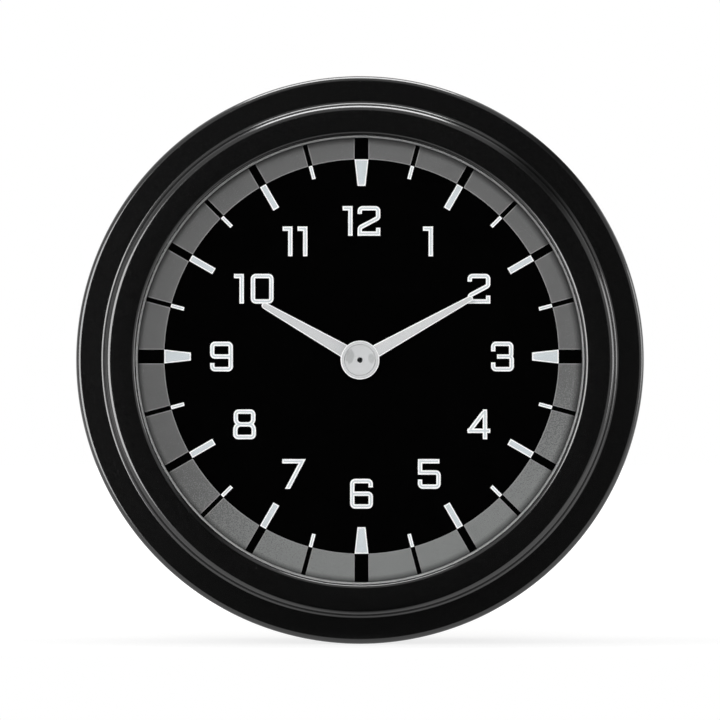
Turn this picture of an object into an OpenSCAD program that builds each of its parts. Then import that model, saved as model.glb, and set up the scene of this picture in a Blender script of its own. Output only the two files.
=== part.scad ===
// Two-hand quartz dashboard clock for a round hole in an instrument panel.
// The hands turn about the Y axis, the dial faces -Y and twelve o'clock is +Z.
// The origin is on that axis, where the back of the bezel seats on the panel.

/* [Case] */
// Diameter of the barrel that goes through the panel
barrel_d = 52.8; // [52:0.1:53.6]
// Depth of the case behind the panel
case_depth = 26; // [25:0.5:36]
// Thickness of the barrel's wall
case_wall = 1.5; // [1.2:0.1:1.8]
// Thickness of the rear wall
rear_wall = 1.8; // [1.4:0.1:2.4]
// Thickness of the flange ring that the bezel is crimped over
flange_t = 2.0; // [1.6:0.1:2.6]
// Radial step from the barrel down to the spigot that the flange ring is pressed on
spigot_step = 0.6; // [0.4:0.05:0.7]
// Rounding of the rear edge
rear_round = 1.2; // [0.6:0.1:1.6]
// Radial depth of the ribs that carry the movement
rib_depth = 1.3; // [1:0.1:1.6]
// Width of a rib
rib_w = 2.2; // [1.6:0.1:3]
// Radius of the bosses round the mounting studs
boss_r = 4.2; // [3.6:0.1:5]
// Height of those bosses behind the rear wall
boss_h = 1.2; // [0.8:0.1:2]
// Width of the groove moulded round the edge of the rear wall
rim_groove_w = 0.7; // [0.5:0.1:0.9]
// Depth of that groove
rim_groove_depth = 0.4; // [0.2:0.05:0.6]
// Length of the bars of the polarity marks on the rear wall
sign_len = 2.4; // [1.8:0.1:3]
// Width of those bars
sign_w = 0.6; // [0.4:0.05:0.8]
// Height of those bars
sign_h = 0.35; // [0.2:0.05:0.5]
// How much nearer the middle a polarity mark is than its terminal
sign_in = 6.2; // [5.8:0.1:6.6]
// Distance of a polarity mark below its terminal
sign_drop = 5; // [4.6:0.1:5.4]

/* [Bezel] */
// Radial width of the low outer band
outer_band_w = 3.05; // [2.4:0.05:3.6]
// Metal over and round the flange ring
bezel_wall = 0.75; // [0.6:0.05:1]
// Metal between the edge of the lens and the step between the bands
lens_wall = 0.95; // [0.9:0.05:1.4]
// Thickness of the lip over the lens
lip_t = 0.8; // [0.6:0.05:1.2]
// Thickness of the crimp behind the flange ring
crimp_t = 0.6; // [0.4:0.05:0.8]
// Rounding of the rim, front and rear
rim_round = 0.55; // [0.3:0.05:0.6]
// Fillet at the foot of the step
step_fillet = 0.4; // [0.3:0.05:0.6]
// Rounding of the raised edge of the step
step_round = 0.68; // [0.4:0.02:0.8]
// Rounding of the lip round the aperture
lip_round = 0.6; // [0.3:0.05:0.7]
// How far the lip reaches in past the bore of the case
lip_reach = 1.1; // [0.8:0.05:1.4]

/* [Lens and dial] */
// Thickness of the glass
lens_t = 1.4; // [1.2:0.1:2]
// How far the glass overlaps the mouth of the barrel
lens_ledge = 1.1; // [0.9:0.05:1.4]
// Thickness of the rubber ring under the glass
gasket_t = 0.5; // [0.3:0.05:0.7]
// Height of the spacer ring between the dial and the glass
spacer_h = 3.3; // [3.1:0.1:4]
// Width of the spacer ring that shows inside the aperture
spacer_show = 0.14; // [0.1:0.01:0.4]
// Thickness of the dial plate
dial_t = 0.5; // [0.4:0.1:0.8]
// Radius of the hole in the middle of the dial
dial_hole_r = 1.9; // [1.8:0.1:2]

/* [Hands] */
// Clockwise angle of the minute hand from twelve
minute_angle = 60.9; // [0:0.1:359]
// Clockwise angle of the hour hand from twelve
hour_angle = 299.7; // [0:0.1:359]
// Length of the minute hand from the axis
minute_len = 13.7; // [12.5:0.1:20]
// Width of the minute hand at the hub
minute_w = 1.5; // [1.1:0.05:1.8]
// Width of the minute hand at its tip
minute_tip = 0.6; // [0.4:0.05:1]
// Length of the hour hand from the axis
hour_len = 12.0; // [9:0.1:15]
// Width of the hour hand at the hub
hour_w = 1.58; // [1.2:0.02:1.9]
// Width of the hour hand at its tip
hour_tip = 0.69; // [0.4:0.01:1]
// Wall of the hour hand's boss round its pipe
hour_boss_wall = 0.42; // [0.35:0.01:0.5]
// Thickness of a hand
hand_t = 0.3; // [0.2:0.05:0.4]
// Radius of the round hub of the minute hand
hub_r = 2.06; // [1.9:0.02:2.4]
// Height of that hub
hub_h = 0.9; // [0.7:0.05:1.1]
// Thickness of the hub's top over the end of the arbor
hub_web = 0.25; // [0.2:0.01:0.3]
// Width of the rim left round the dished top of the hub
hub_rim = 0.37; // [0.2:0.01:0.5]
// Depth of the dish
dish_depth = 0.16; // [0.08:0.01:0.25]
// Radius of the pinhole in the middle of the dish
pinhole_r = 0.29; // [0.2:0.01:0.4]
// Depth of the centre hole drilled in the end of the minute arbor
drill_depth = 1.4; // [0.8:0.1:2]
// Free height between the dial and the hour hand
hour_lift = 0.8; // [0.5:0.05:1]
// Free height between the two hands
hand_gap = 0.5; // [0.4:0.05:0.6]

/* [Gear train] */
// Tooth module of the motion work behind the dial
motion_m = 0.45; // [0.44:0.01:0.46]
// Tooth module of the centre wheel and the intermediate pinion
centre_m = 0.25; // [0.24:0.005:0.26]
// Tooth module of the intermediate wheel and the rotor pinion
rotor_m = 0.22; // [0.21:0.005:0.23]
// Pressure angle of the teeth
pressure_angle = 25; // [22:0.5:26]
// Share of a tooth's width that is left free as backlash
backlash = 0.14; // [0.1:0.01:0.2]
// Thickness of the motion work's wheels
motion_t = 0.8; // [0.6:0.1:1]
// Thickness of the centre and intermediate wheels
wheel_t = 0.6; // [0.4:0.1:0.8]
// How far a pinion is longer than the wheel it meets, at each end
pinion_over = 0.2; // [0.1:0.05:0.3]
// Free height between one layer of the train and the next
layer_gap = 0.4; // [0.35:0.05:0.6]
// Angle below the horizontal of the line from the hands to the minute wheel
motion_angle = 66.4; // [62:0.1:70]
// Angle of the line from the hands to the intermediate wheel
centre_angle = 20; // [15:1:25]
// Angle of the line from the intermediate wheel to the rotor
rotor_angle = -60; // [-65:1:-55]
// Radius of the minute arbor
arbor_r = 1.0; // [0.9:0.02:1.1]
// Wall of the hour wheel's pipe
pipe_wall = 0.47; // [0.4:0.01:0.5]
// Radius of the other arbors
small_arbor_r = 0.5; // [0.45:0.01:0.55]
// Radius of the pivots of the arbors
pivot_r = 0.35; // [0.3:0.01:0.4]
// Radius of the setting shaft
set_shaft_r = 1.2; // [1:0.05:1.4]

/* [Motor and board] */
// Radius of the rotor's magnet
magnet_r = 1.5; // [1.3:0.05:1.6]
// Length of the rotor's magnet
magnet_h = 1.4; // [1.2:0.1:1.6]
// Air gap between the magnet and the stator
air_gap = 0.4; // [0.3:0.05:0.5]
// Thickness of the stator
stator_t = 0.8; // [0.6:0.1:1]
// Width of the stator's yoke
yoke_w = 6; // [5.6:0.2:7]
// Width of the stator's two arms
stator_arm_w = 3.2; // [2.6:0.2:3.6]
// Distance from the rotor down to the coil
coil_drop = 7.6; // [7.2:0.1:8.2]
// Distance of the coil's middle to the left of the rotor
coil_shift = 1.8; // [1.4:0.1:2.2]
// Distance between the two arms of the stator
coil_len = 8.8; // [8:0.2:9.4]
// Radius of the coil's winding
coil_r = 2.1; // [1.8:0.1:2.3]
// Radius of the cheeks of the bobbin
cheek_r = 2.5; // [2.4:0.1:2.8]
// Thickness of a cheek
cheek_t = 0.7; // [0.5:0.1:1]
// Side of the square iron core in the coil
core_w = 1.4; // [1.2:0.1:1.6]
// Wall of the bobbin round the core
bobbin_wall = 0.3; // [0.2:0.05:0.4]
// Thickness of the front plate
front_plate_t = 1.2; // [1:0.1:1.6]
// Thickness of the rear plate
rear_plate_t = 1.2; // [1:0.1:1.6]
// Free width between the intermediate wheel and the circle of the pillars
pillar_gap = 0.75; // [0.6:0.05:1]
// Width of the rear plate and the board outside the circle of the pillars
pillar_margin = 2; // [1.8:0.1:2.4]
// Thickness of the board
board_t = 1.0; // [0.8:0.1:1.6]
// Free height between the rear plate and the board
board_gap = 1.6; // [1.4:0.1:2.4]
// Radius of a pillar
pillar_r = 1.5; // [1.3:0.1:1.6]
// Radius of a movement screw
screw_r = 0.6; // [0.5:0.05:0.7]
// Radius of a movement screw's head
screw_head_r = 1.2; // [1:0.05:1.4]
// Height of a movement screw's head
screw_head_h = 0.7; // [0.5:0.1:1]
// Width of the slot in that head
screw_slot_w = 0.35; // [0.3:0.01:0.5]
// Length of a movement screw in its pillar
screw_grip = 3.5; // [3:0.1:4]
// Depth of the tapped hole left free past the end of the screw
tap_room = 0.5; // [0.3:0.1:1]
// Free width between the lamp holder and the movement
lamp_room = 1.6; // [1.4:0.1:2]
// Radius of the quartz crystal's can
crystal_r = 1.5; // [1.2:0.1:1.6]
// Length of that can
crystal_len = 8; // [7:0.2:8.4]
// Distance of its middle to the side of the hands
crystal_x = 8; // [7:0.2:9]
// Height of the crystal and the capacitor above the hands
parts_rise = 3; // [2.6:0.1:3.4]
// Radius of the capacitor
capacitor_r = 2.5; // [2:0.1:2.6]
// Free height between the capacitor and the rear wall
capacitor_room = 2.3; // [2:0.1:3]
// Distance of the capacitor to the side of the hands
capacitor_x = 10; // [9:0.2:11]
// Side of the driver chip
chip_side = 5; // [4.4:0.1:5.4]
// Height of the driver chip
chip_h = 1.6; // [1.2:0.1:2]
// Distance of the driver chip to the side of the hands
chip_x = 3; // [2:0.2:4]
// Distance of the driver chip below the hands
chip_drop = 4; // [3.4:0.1:4.6]
// Width of a contact spring
spring_w = 3; // [2.4:0.1:3.4]
// Thickness of a contact spring
spring_t = 0.3; // [0.2:0.05:0.4]
// Length of a contact spring's foot on the board
spring_foot = 3.5; // [3:0.1:4]

/* [Rear fittings] */
// Distance between the two mounting studs
stud_spacing = 34; // [32:0.5:36]
// Radius of the mounting and terminal studs
stud_r = 2; // [1.8:0.1:2.1]
// Length of a mounting stud behind the rear wall
stud_len = 18; // [17:0.5:24]
// Width across the flats of a stud's head
stud_head_af = 6; // [5.4:0.1:6.6]
// Height of a stud's head
stud_head_h = 1.6; // [1.2:0.1:2]
// Chamfer on the tip of a stud
stud_chamfer = 0.5; // [0.3:0.05:0.7]
// Sideways distance of a terminal from the middle
terminal_x = 13.5; // [13:0.1:14]
// Distance of the terminals below the middle
terminal_drop = 13.5; // [13:0.1:14]
// Free length of a terminal stud behind its nut
terminal_free = 7; // [6:0.5:9]
// Width of the groove between the nut and that free length
groove_w = 0.6; // [0.4:0.05:0.8]
// Depth of that groove
groove_depth = 0.4; // [0.3:0.05:0.5]
// Width across the flats of a terminal nut
terminal_nut_af = 7; // [6.4:0.1:7.4]
// Height of a terminal nut
terminal_nut_h = 3.2; // [2.6:0.1:3.6]
// Outer radius of a terminal washer
terminal_washer_r = 4.2; // [4:0.1:4.4]
// Thickness of a washer
washer_t = 0.8; // [0.6:0.1:1]
// Radius of the setting knob
knob_r = 4.6; // [4:0.1:5]
// Length of the setting knob
knob_len = 6; // [5:0.2:7]
// Number of flutes round the setting knob
knob_flutes = 18; // [14:1:20]
// Radius of a flute in the setting knob
knob_flute_r = 0.5; // [0.4:0.05:0.6]
// Radius of the collar that the setting shaft comes out of
collar_r = 3; // [2.6:0.1:3.4]
// Height of that collar
collar_h = 1; // [0.8:0.1:1.6]

/* [Clamp] */
// Thickness of the panel that the clamp is drawn up for
panel_t = 3; // [2.5:0.1:6]
// Thickness of the clamp's strip
strap_t = 1.2; // [1:0.1:1.6]
// Width of the clamp's strip
strap_w = 14; // [12:0.2:15]
// Free height between the stud bosses and the clamp
strap_gap = 3; // [2.6:0.1:5]
// Free width between the barrel and a leg of the clamp
leg_gap = 1.0; // [0.9:0.05:1.4]
// Inner radius of the clamp's bends
bend_r = 2; // [1.5:0.1:3]
// Radius of a thumb nut
thumb_r = 5.5; // [5:0.1:6]
// Height of a thumb nut's grip
thumb_h = 4.5; // [4:0.1:6]
// Height of a thumb nut's shoulder
shoulder_h = 1; // [0.8:0.1:1.5]
// Radius of a thumb nut's shoulder
shoulder_r = 3.6; // [3.2:0.1:4]
// Number of flutes round a thumb nut
thumb_flutes = 20; // [16:1:22]
// Radius of a flute in a thumb nut
thumb_flute_r = 0.6; // [0.5:0.05:0.7]
// How far a clamp washer is wider than the shoulder of its nut
clamp_washer_over = 0.6; // [0.4:0.1:1]

/* [Dial lamp] */
// Distance of the lamp above the middle
lamp_rise = 15.6; // [15.2:0.1:16]
// Radius of the holder's barrel
holder_r = 4.2; // [4:0.05:4.4]
// Length of the holder inside the case
holder_len = 7; // [6.6:0.1:8]
// Radius of the holder's flange
holder_flange_r = 6.8; // [6.6:0.1:7]
// Thickness of that flange
holder_flange_t = 1.2; // [1:0.1:1.6]
// Radius of the bayonet ears
ear_r = 5.8; // [5.6:0.1:6]
// Width of a bayonet ear
ear_w = 3; // [2.4:0.1:3.4]
// Thickness of a bayonet ear
ear_t = 1; // [0.8:0.1:1.4]
// Angle from the locked place of the ears to their notches
lamp_turn = 60; // [55:1:70]
// Length of the grip on the holder
grip_len = 10; // [9:0.2:11]
// Width of the grip
grip_w = 3; // [2.6:0.1:3.4]
// Height of the grip
grip_h = 5; // [4:0.2:6]
// Width of a contact blade
blade_w = 4; // [3:0.1:4.8]
// Thickness of a contact blade
blade_t = 0.8; // [0.6:0.1:1]
// Length of a contact blade behind the flange
blade_len = 7; // [6:0.2:9]
// Distance of a blade from the middle of the holder
blade_off = 3.0; // [2.8:0.1:3.2]
// Radius of the bulb
bulb_r = 2.4; // [2.2:0.1:2.5]
// Length of the bulb in front of the holder
bulb_len = 8; // [7:0.2:9]
// Width of the bulb's wedge base
wedge_w = 4.6; // [4:0.1:4.8]
// Thickness of the wedge base
wedge_t = 2; // [1.8:0.1:2.2]
// Length of the wedge base in the holder
wedge_len = 5.6; // [5:0.1:6]

/* [Clearances] */
// Running clearance of a shaft in its hole
run_clear = 0.06; // [0.03:0.01:0.1]
// Clearance of a piece pushed or pressed into another
seat_clear = 0.03; // [0.02:0.01:0.05]
// Clearance of a piece dropped into a pocket
drop_clear = 0.15; // [0.1:0.05:0.3]
// Free height beside a piece that turns or slides
end_clear = 0.12; // [0.1:0.01:0.2]

/* [Hidden] */
$fn = 96;
// Overlap of a cutting body past the face that it opens
cut = 1;
// How far the middle of a flute stands outside its grip, as a share of the flute's radius
FLUTE_OUT = 0.5;

// Radii, from the barrel outwards
barrel_r = barrel_d / 2;
bore_r = barrel_r - case_wall;
spigot_r = barrel_r - spigot_step;
lens_r = bore_r + lens_ledge;
riser_r = lens_r + drop_clear + lens_wall;
bezel_r = riser_r + outer_band_w;
flange_r = bezel_r - bezel_wall - drop_clear;
aperture_r = bore_r - lip_reach;
spacer_in_r = aperture_r - spacer_show;
disc_r = bore_r - drop_clear;
rim_groove_r = barrel_r - rear_round - 2 * rim_groove_w;

// Heights towards the viewer, from the panel forwards
flange_z = crimp_t + flange_t;
gasket_z = flange_z - gasket_t;
lens_z = flange_z;
lip_z = lens_z + lens_t;
inner_band_z = lip_z + lip_t;
outer_band_z = flange_z + drop_clear + bezel_wall;

// Heights from the lens back through the dial and the train
dial_z = lens_z - spacer_h;
plate_z = dial_z - dial_t;
train_z = plate_z - front_plate_t;
hour_hand_z = dial_z + hour_lift;
minute_hub_z = hour_hand_z + hand_t + hand_gap;
minute_hand_z = minute_hub_z + (hub_h - dish_depth - hand_t) / 2;
arbor_end_z = minute_hub_z + hub_h / 2;
hour_wheel_z = train_z - layer_gap;
minute_wheel_z = hour_wheel_z - motion_t - layer_gap - pinion_over;
centre_wheel_z = minute_wheel_z - motion_t - layer_gap - 2 * pinion_over;
interm_wheel_z = centre_wheel_z - wheel_t - layer_gap - 2 * pinion_over;
magnet_z = interm_wheel_z - wheel_t - layer_gap - pinion_over;
stator_z = magnet_z - (magnet_h - stator_t) / 2;
coil_z = stator_z - stator_t - core_w / 2;
rear_plate_z = coil_z - cheek_r - layer_gap;
spacer_z = rear_plate_z - rear_plate_t;
board_z = spacer_z - board_gap;
board_back_z = board_z - board_t;
rear_z = -case_depth;
rear_in_z = rear_z + rear_wall;
boss_z = rear_z - boss_h;
strap_z = boss_z - strap_gap;
strap_back_z = strap_z - strap_t;

// Teeth of the train
CANNON_TEETH = 10;
MINUTE_TEETH = 30;
MINUTE_PINION_TEETH = 8;
HOUR_TEETH = 32;
SET_TEETH = 10;
CENTRE_TEETH = 64;
INTERM_PINION_TEETH = 8;
INTERM_TEETH = 60;
ROTOR_TEETH = 8;
// Height of a wheel's and a pinion's tooth above the pitch circle, and the room below it, in modules
WHEEL_ADDENDUM = 0.7;
PINION_ADDENDUM = 0.8;
TOOTH_ROOM = 0.25;
// Number of steps along the flank of a tooth
FLANK_STEPS = 2;
// Openings in a wheel: how many, and their circle and size as shares of the pitch radius
CROSSINGS = 5;
CROSSING_CIRCLE = 0.57;
CROSSING_SIZE = 0.22;

// Places of the axes in the dial's plane
motion_c = motion_m * (CANNON_TEETH + MINUTE_TEETH) / 2;
centre_c = centre_m * (CENTRE_TEETH + INTERM_PINION_TEETH) / 2;
rotor_c = rotor_m * (INTERM_TEETH + ROTOR_TEETH) / 2;
hands_at = [0, 0];
minute_wheel_at = motion_c * [-cos(motion_angle), -sin(motion_angle)];
set_at = [0, -2 * motion_c * sin(motion_angle)];
interm_at = centre_c * [cos(centre_angle), sin(centre_angle)];
rotor_at = interm_at + rotor_c * [cos(rotor_angle), sin(rotor_angle)];
coil_at = rotor_at - [coil_shift, coil_drop];
lamp_at = [0, lamp_rise];
studs_at = [for (s = [-1, 1]) [s * stud_spacing / 2, 0]];
terminals_at = [for (s = [-1, 1]) [s * terminal_x, -terminal_drop]];
signs_at = [for (s = [-1, 1]) [s * (terminal_x - sign_in), -terminal_drop - sign_drop]];
// Directions of the pillars and of the ribs in the case
PILLAR_ANGLES = [25, 155, 240, 300];
RIB_ANGLES = [20, 60, 120, 160, 215, 250, 290, 325];
// The pillars stand just outside the intermediate wheel
pillar_circle_r = norm(interm_at) + rotor_m * (INTERM_TEETH / 2 + WHEEL_ADDENDUM) + pillar_gap + pillar_r;
movement_r = pillar_circle_r + pillar_margin;
pillars_at = [for (a = PILLAR_ANGLES) pillar_circle_r * [cos(a), sin(a)]];
// The flat that leaves room for the lamp
movement_flat_y = lamp_rise - holder_r - lamp_room;

// Radii of the pipe round the minute arbor
pipe_in_r = arbor_r + run_clear;
pipe_r = pipe_in_r + pipe_wall;
// Heights of the terminal stack behind the rear wall
terminal_nut_z = rear_z - washer_t;
terminal_groove_z = terminal_nut_z - terminal_nut_h;
terminal_free_z = terminal_groove_z - groove_w;
terminal_tip_z = terminal_free_z - terminal_free;
stud_tip_z = rear_z - stud_len;
knob_z = rear_z - collar_h - end_clear;
// Heights of the lamp holder
holder_flange_z = rear_z - end_clear;
holder_back_z = holder_flange_z - holder_flange_t;
holder_front_z = rear_in_z + holder_len;

// Places and turns

// Stands the dial's plane upright, with its front towards -Y
module dial_frame() {
  rotate([90, 0, 0])
    children();
}

module on(place) {
  translate([place[0], place[1], 0])
    children();
}

module clockwise(angle) {
  rotate(-angle)
    children();
}

// Simple bodies

module disc(r, z0, z1) {
  translate([0, 0, z0])
    cylinder(r = r, h = z1 - z0);
}

module tube(r_out, r_in, z0, z1) {
  difference() {
    disc(r_out, z0, z1);
    disc(r_in, z0 - cut, z1 + cut);
  }
}

module block(w, d, z0, z1) {
  translate([-w / 2, -d / 2, z0])
    cube([w, d, z1 - z0]);
}

// A threaded shank with a chamfered tip at z0
module shank(r, z0, z1) {
  disc(r, z0 + stud_chamfer, z1);
  translate([0, 0, z0])
    cylinder(r1 = r - stud_chamfer, r2 = r, h = stud_chamfer);
}

module hexagon(across_flats, z0, z1) {
  translate([0, 0, z0])
    cylinder(r = across_flats / 2 / cos(30), h = z1 - z0, $fn = 6);
}

// A round grip with flutes along its side
module fluted(r, z0, z1, flutes, flute_r) {
  difference() {
    disc(r, z0, z1);
    for (i = [0 : flutes - 1])
      rotate(i * 360 / flutes)
        translate([r + FLUTE_OUT * flute_r, 0, 0])
          disc(flute_r, z0 - cut, z1 + cut);
  }
}

// Gear teeth

function involute(a) = tan(a) * 180 / PI - a;
function polar(r, a) = [r * cos(a), r * sin(a)];
function base_radius(m, teeth) = m * teeth / 2 * cos(pressure_angle);
// Half of the angle that a tooth takes up at radius r
function tooth_half(m, teeth, r) =
  let (base = base_radius(m, teeth))
  90 / teeth * (1 - backlash) + involute(pressure_angle) - involute(acos(base / max(r, base)));
// Radii along a flank, from the root circle to the tip circle
function flank_radii(m, teeth, addendum, dedendum) =
  let (
    root = m * (teeth / 2 - dedendum),
    tip = m * (teeth / 2 + addendum),
    start = max(root, base_radius(m, teeth))
  )
  concat(
    start > root ? [root] : [],
    [for (i = [0 : FLANK_STEPS]) start + (tip - start) * i / FLANK_STEPS]
  );
function gear_outline(m, teeth, addendum, dedendum) =
  let (radii = flank_radii(m, teeth, addendum, dedendum), last = len(radii) - 1)
  [
    for (t = [0 : teeth - 1])
      for (i = [0 : 2 * last + 1])
        let (side = i <= last ? -1 : 1, r = radii[i <= last ? i : 2 * last + 1 - i])
        polar(r, t * 360 / teeth + side * tooth_half(m, teeth, r))
  ];

// Turn of a gear at place_b that puts its teeth in mesh with a gear at place_a turned by phase_a
function mesh_phase(place_a, teeth_a, phase_a, place_b, teeth_b) =
  let (
    line = atan2(place_b[1] - place_a[1], place_b[0] - place_a[0]),
    pitches = (line - phase_a) * teeth_a / 360
  )
  line + 180 + (pitches - 0.5) * 360 / teeth_b;

module wheel_teeth(m, teeth, z0, z1) {
  translate([0, 0, z0])
    linear_extrude(z1 - z0)
      polygon(gear_outline(m, teeth, WHEEL_ADDENDUM, PINION_ADDENDUM + TOOTH_ROOM));
}

module pinion_teeth(m, teeth, z0, z1) {
  translate([0, 0, z0])
    linear_extrude(z1 - z0)
      polygon(gear_outline(m, teeth, PINION_ADDENDUM, WHEEL_ADDENDUM + TOOTH_ROOM));
}

// A ring of round openings that lighten a wheel
module crossings(m, teeth, z0, z1) {
  pitch_r = m * teeth / 2;
  for (i = [0 : CROSSINGS - 1])
    rotate(i * 360 / CROSSINGS)
      translate([CROSSING_CIRCLE * pitch_r, 0, 0])
        disc(CROSSING_SIZE * pitch_r, z0 - cut, z1 + cut);
}

// An arbor between the plates, with a shoulder and a pivot at each end
module arbor_between_plates(r) {
  disc(r, rear_plate_z + end_clear, train_z - end_clear);
  disc(pivot_r, spacer_z, plate_z);
}

// Phases of the gears at rest
minute_wheel_phase = mesh_phase(hands_at, CANNON_TEETH, 0, minute_wheel_at, MINUTE_TEETH);
hour_wheel_phase = mesh_phase(minute_wheel_at, MINUTE_PINION_TEETH, 0, hands_at, HOUR_TEETH);
set_phase = mesh_phase(minute_wheel_at, MINUTE_TEETH, minute_wheel_phase, set_at, SET_TEETH);
interm_phase = mesh_phase(hands_at, CENTRE_TEETH, 0, interm_at, INTERM_PINION_TEETH);
rotor_phase = mesh_phase(interm_at, INTERM_TEETH, 0, rotor_at, ROTOR_TEETH);

// Bezel, lens and dial

// Half section of a ring whose front corners are rounded
module rounded_section(r_in, r_out, z0, z1, in_round, out_round) {
  mid_r = (r_in + r_out) / 2;
  translate([r_in + in_round, z0])
    square([r_out - out_round - r_in - in_round, z1 - z0]);
  translate([r_in, z0])
    square([mid_r - r_in, z1 - z0 - in_round]);
  translate([mid_r, z0])
    square([r_out - mid_r, z1 - z0 - out_round]);
  translate([r_in + in_round, z1 - in_round])
    circle(in_round);
  translate([r_out - out_round, z1 - out_round])
    circle(out_round);
}

module bezel_section() {
  difference() {
    union() {
      translate([aperture_r, rim_round])
        square([bezel_r - aperture_r, outer_band_z - 2 * rim_round]);
      translate([aperture_r, 0])
        square([bezel_r - rim_round - aperture_r, outer_band_z]);
      for (z = [rim_round, outer_band_z - rim_round])
        translate([bezel_r - rim_round, z])
          circle(rim_round);
      rounded_section(aperture_r, riser_r, lens_z, inner_band_z, lip_round, step_round);
      difference() {
        translate([riser_r - step_fillet, outer_band_z - step_fillet])
          square(2 * step_fillet);
        translate([riser_r + step_fillet, outer_band_z + step_fillet])
          circle(step_fillet);
      }
    }
    translate([0, -cut])
      square([barrel_r + drop_clear, crimp_t + 2 * cut]);
    translate([0, crimp_t])
      square([flange_r + drop_clear, flange_t + drop_clear]);
    translate([0, crimp_t])
      square([lens_r + drop_clear, lip_z - crimp_t]);
  }
}

module bezel() {
  color("#161616")
    dial_frame()
      rotate_extrude()
        bezel_section();
}

module lens() {
  color("#dfe8ea", 0.3)
    dial_frame()
      disc(lens_r, lens_z, lip_z);
}

module lens_gasket() {
  color("#2a2a2a")
    dial_frame()
      tube(lens_r, bore_r, gasket_z, flange_z);
}

module spacer_ring() {
  color("#7b7c7c")
    dial_frame()
      tube(disc_r, spacer_in_r, dial_z, lens_z);
}

module dial() {
  color("#0c0c0c")
    dial_frame()
      tube(disc_r, dial_hole_r, plate_z, dial_z);
}

// Hands

// A tapered blade with a round tip, along +Y
module hand_blade(len, base_w, tip_w, z0) {
  translate([0, 0, z0])
    linear_extrude(hand_t) {
      polygon([
        [-base_w / 2, 0],
        [base_w / 2, 0],
        [tip_w / 2, len - tip_w / 2],
        [-tip_w / 2, len - tip_w / 2]
      ]);
      translate([0, len - tip_w / 2])
        circle(tip_w / 2);
    }
}

module hour_hand() {
  color("#cfd7db")
    dial_frame()
      difference() {
        union() {
          clockwise(hour_angle)
            hand_blade(hour_len, hour_w, hour_tip, hour_hand_z);
          disc(pipe_r + hour_boss_wall, hour_hand_z - hand_t, hour_hand_z + hand_t);
        }
        disc(pipe_r + seat_clear, hour_hand_z - hand_t - cut, hour_hand_z + hand_t + cut);
      }
}

module minute_hand() {
  top_z = minute_hub_z + hub_h;
  color("#cfd7db")
    dial_frame()
      difference() {
        union() {
          clockwise(minute_angle)
            hand_blade(minute_len, minute_w, minute_tip, minute_hand_z);
          disc(hub_r, minute_hub_z, top_z);
        }
        translate([0, 0, top_z - dish_depth])
          cylinder(r1 = pinhole_r, r2 = hub_r - hub_rim, h = dish_depth);
        disc(hub_r - hub_rim, top_z, top_z + cut);
        disc(pinhole_r, minute_hub_z - cut, top_z + cut);
        disc(arbor_r + seat_clear, minute_hub_z - cut, top_z - dish_depth - hub_web);
      }
}

// Case

module case_section() {
  difference() {
    union() {
      square([spigot_r, gasket_z]);
      translate([0, rear_z + rear_round])
        square([barrel_r, -rear_z - rear_round]);
      translate([0, rear_z])
        square([barrel_r - rear_round, -rear_z]);
      translate([barrel_r - rear_round, rear_z + rear_round])
        circle(rear_round);
    }
    translate([0, rear_in_z])
      square([bore_r, gasket_z - rear_in_z + cut]);
  }
}

// Pressed on the spigot of the case, with the crimp behind it and the gasket in its recess
module flange_ring() {
  color("#1b1b1c")
    dial_frame() {
      tube(flange_r, spigot_r + seat_clear, crimp_t, gasket_z);
      tube(flange_r, lens_r + drop_clear, gasket_z, flange_z);
    }
}

// Room for a bayonet ear, in the hole of the lamp holder
module ear(r, w, z0, z1) {
  intersection() {
    disc(r, z0, z1);
    block(2 * r, w, z0, z1);
  }
}

// A plus beside the positive terminal and a minus beside the other
module polarity_marks() {
  for (p = signs_at)
    on(p)
      block(sign_len, sign_w, rear_z - sign_h, rear_in_z - rear_wall / 2);
  on(signs_at[0])
    block(sign_w, sign_len, rear_z - sign_h, rear_in_z - rear_wall / 2);
}

module case() {
  color("#1b1b1c")
    dial_frame()
      difference() {
        union() {
          rotate_extrude()
            case_section();
          for (a = RIB_ANGLES)
            rotate(a)
              translate([bore_r - rib_depth / 2 + case_wall / 4, 0, 0])
                block(rib_depth + case_wall / 2, rib_w, rear_in_z - rear_wall / 2, train_z);
          for (p = studs_at)
            on(p)
              disc(boss_r, boss_z, rear_in_z - rear_wall / 2);
          on(set_at)
            disc(collar_r, rear_z - collar_h, rear_in_z - rear_wall / 2);
          polarity_marks();
        }
        tube(rim_groove_r + rim_groove_w, rim_groove_r, rear_z - cut, rear_z + rim_groove_depth);
        for (p = concat(studs_at, terminals_at))
          on(p)
            disc(stud_r + seat_clear, boss_z - cut, rear_in_z + cut);
        on(set_at)
          disc(set_shaft_r + run_clear, rear_z - collar_h - cut, rear_in_z + cut);
        on(lamp_at) {
          disc(holder_r + drop_clear, rear_z - cut, rear_in_z + cut);
          rotate(-lamp_turn)
            ear(ear_r + drop_clear, ear_w + 2 * drop_clear, rear_z - cut, rear_in_z + cut);
        }
      }
}

// Movement

// Outline of the rear plate and the board, flat towards the lamp
module movement_outline(z0, z1) {
  intersection() {
    disc(movement_r, z0, z1);
    translate([0, movement_flat_y - movement_r, 0])
      block(2 * movement_r, 2 * movement_r, z0, z1);
  }
}

// Holes for the pivots of the arbors
module pivot_holes(z0, z1) {
  for (p = [minute_wheel_at, interm_at, rotor_at])
    on(p)
      disc(pivot_r + run_clear, z0 - cut, z1 + cut);
}

module pillar_holes(r, z0, z1) {
  for (p = pillars_at)
    on(p)
      disc(r, z0 - cut, z1 + cut);
}

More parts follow.
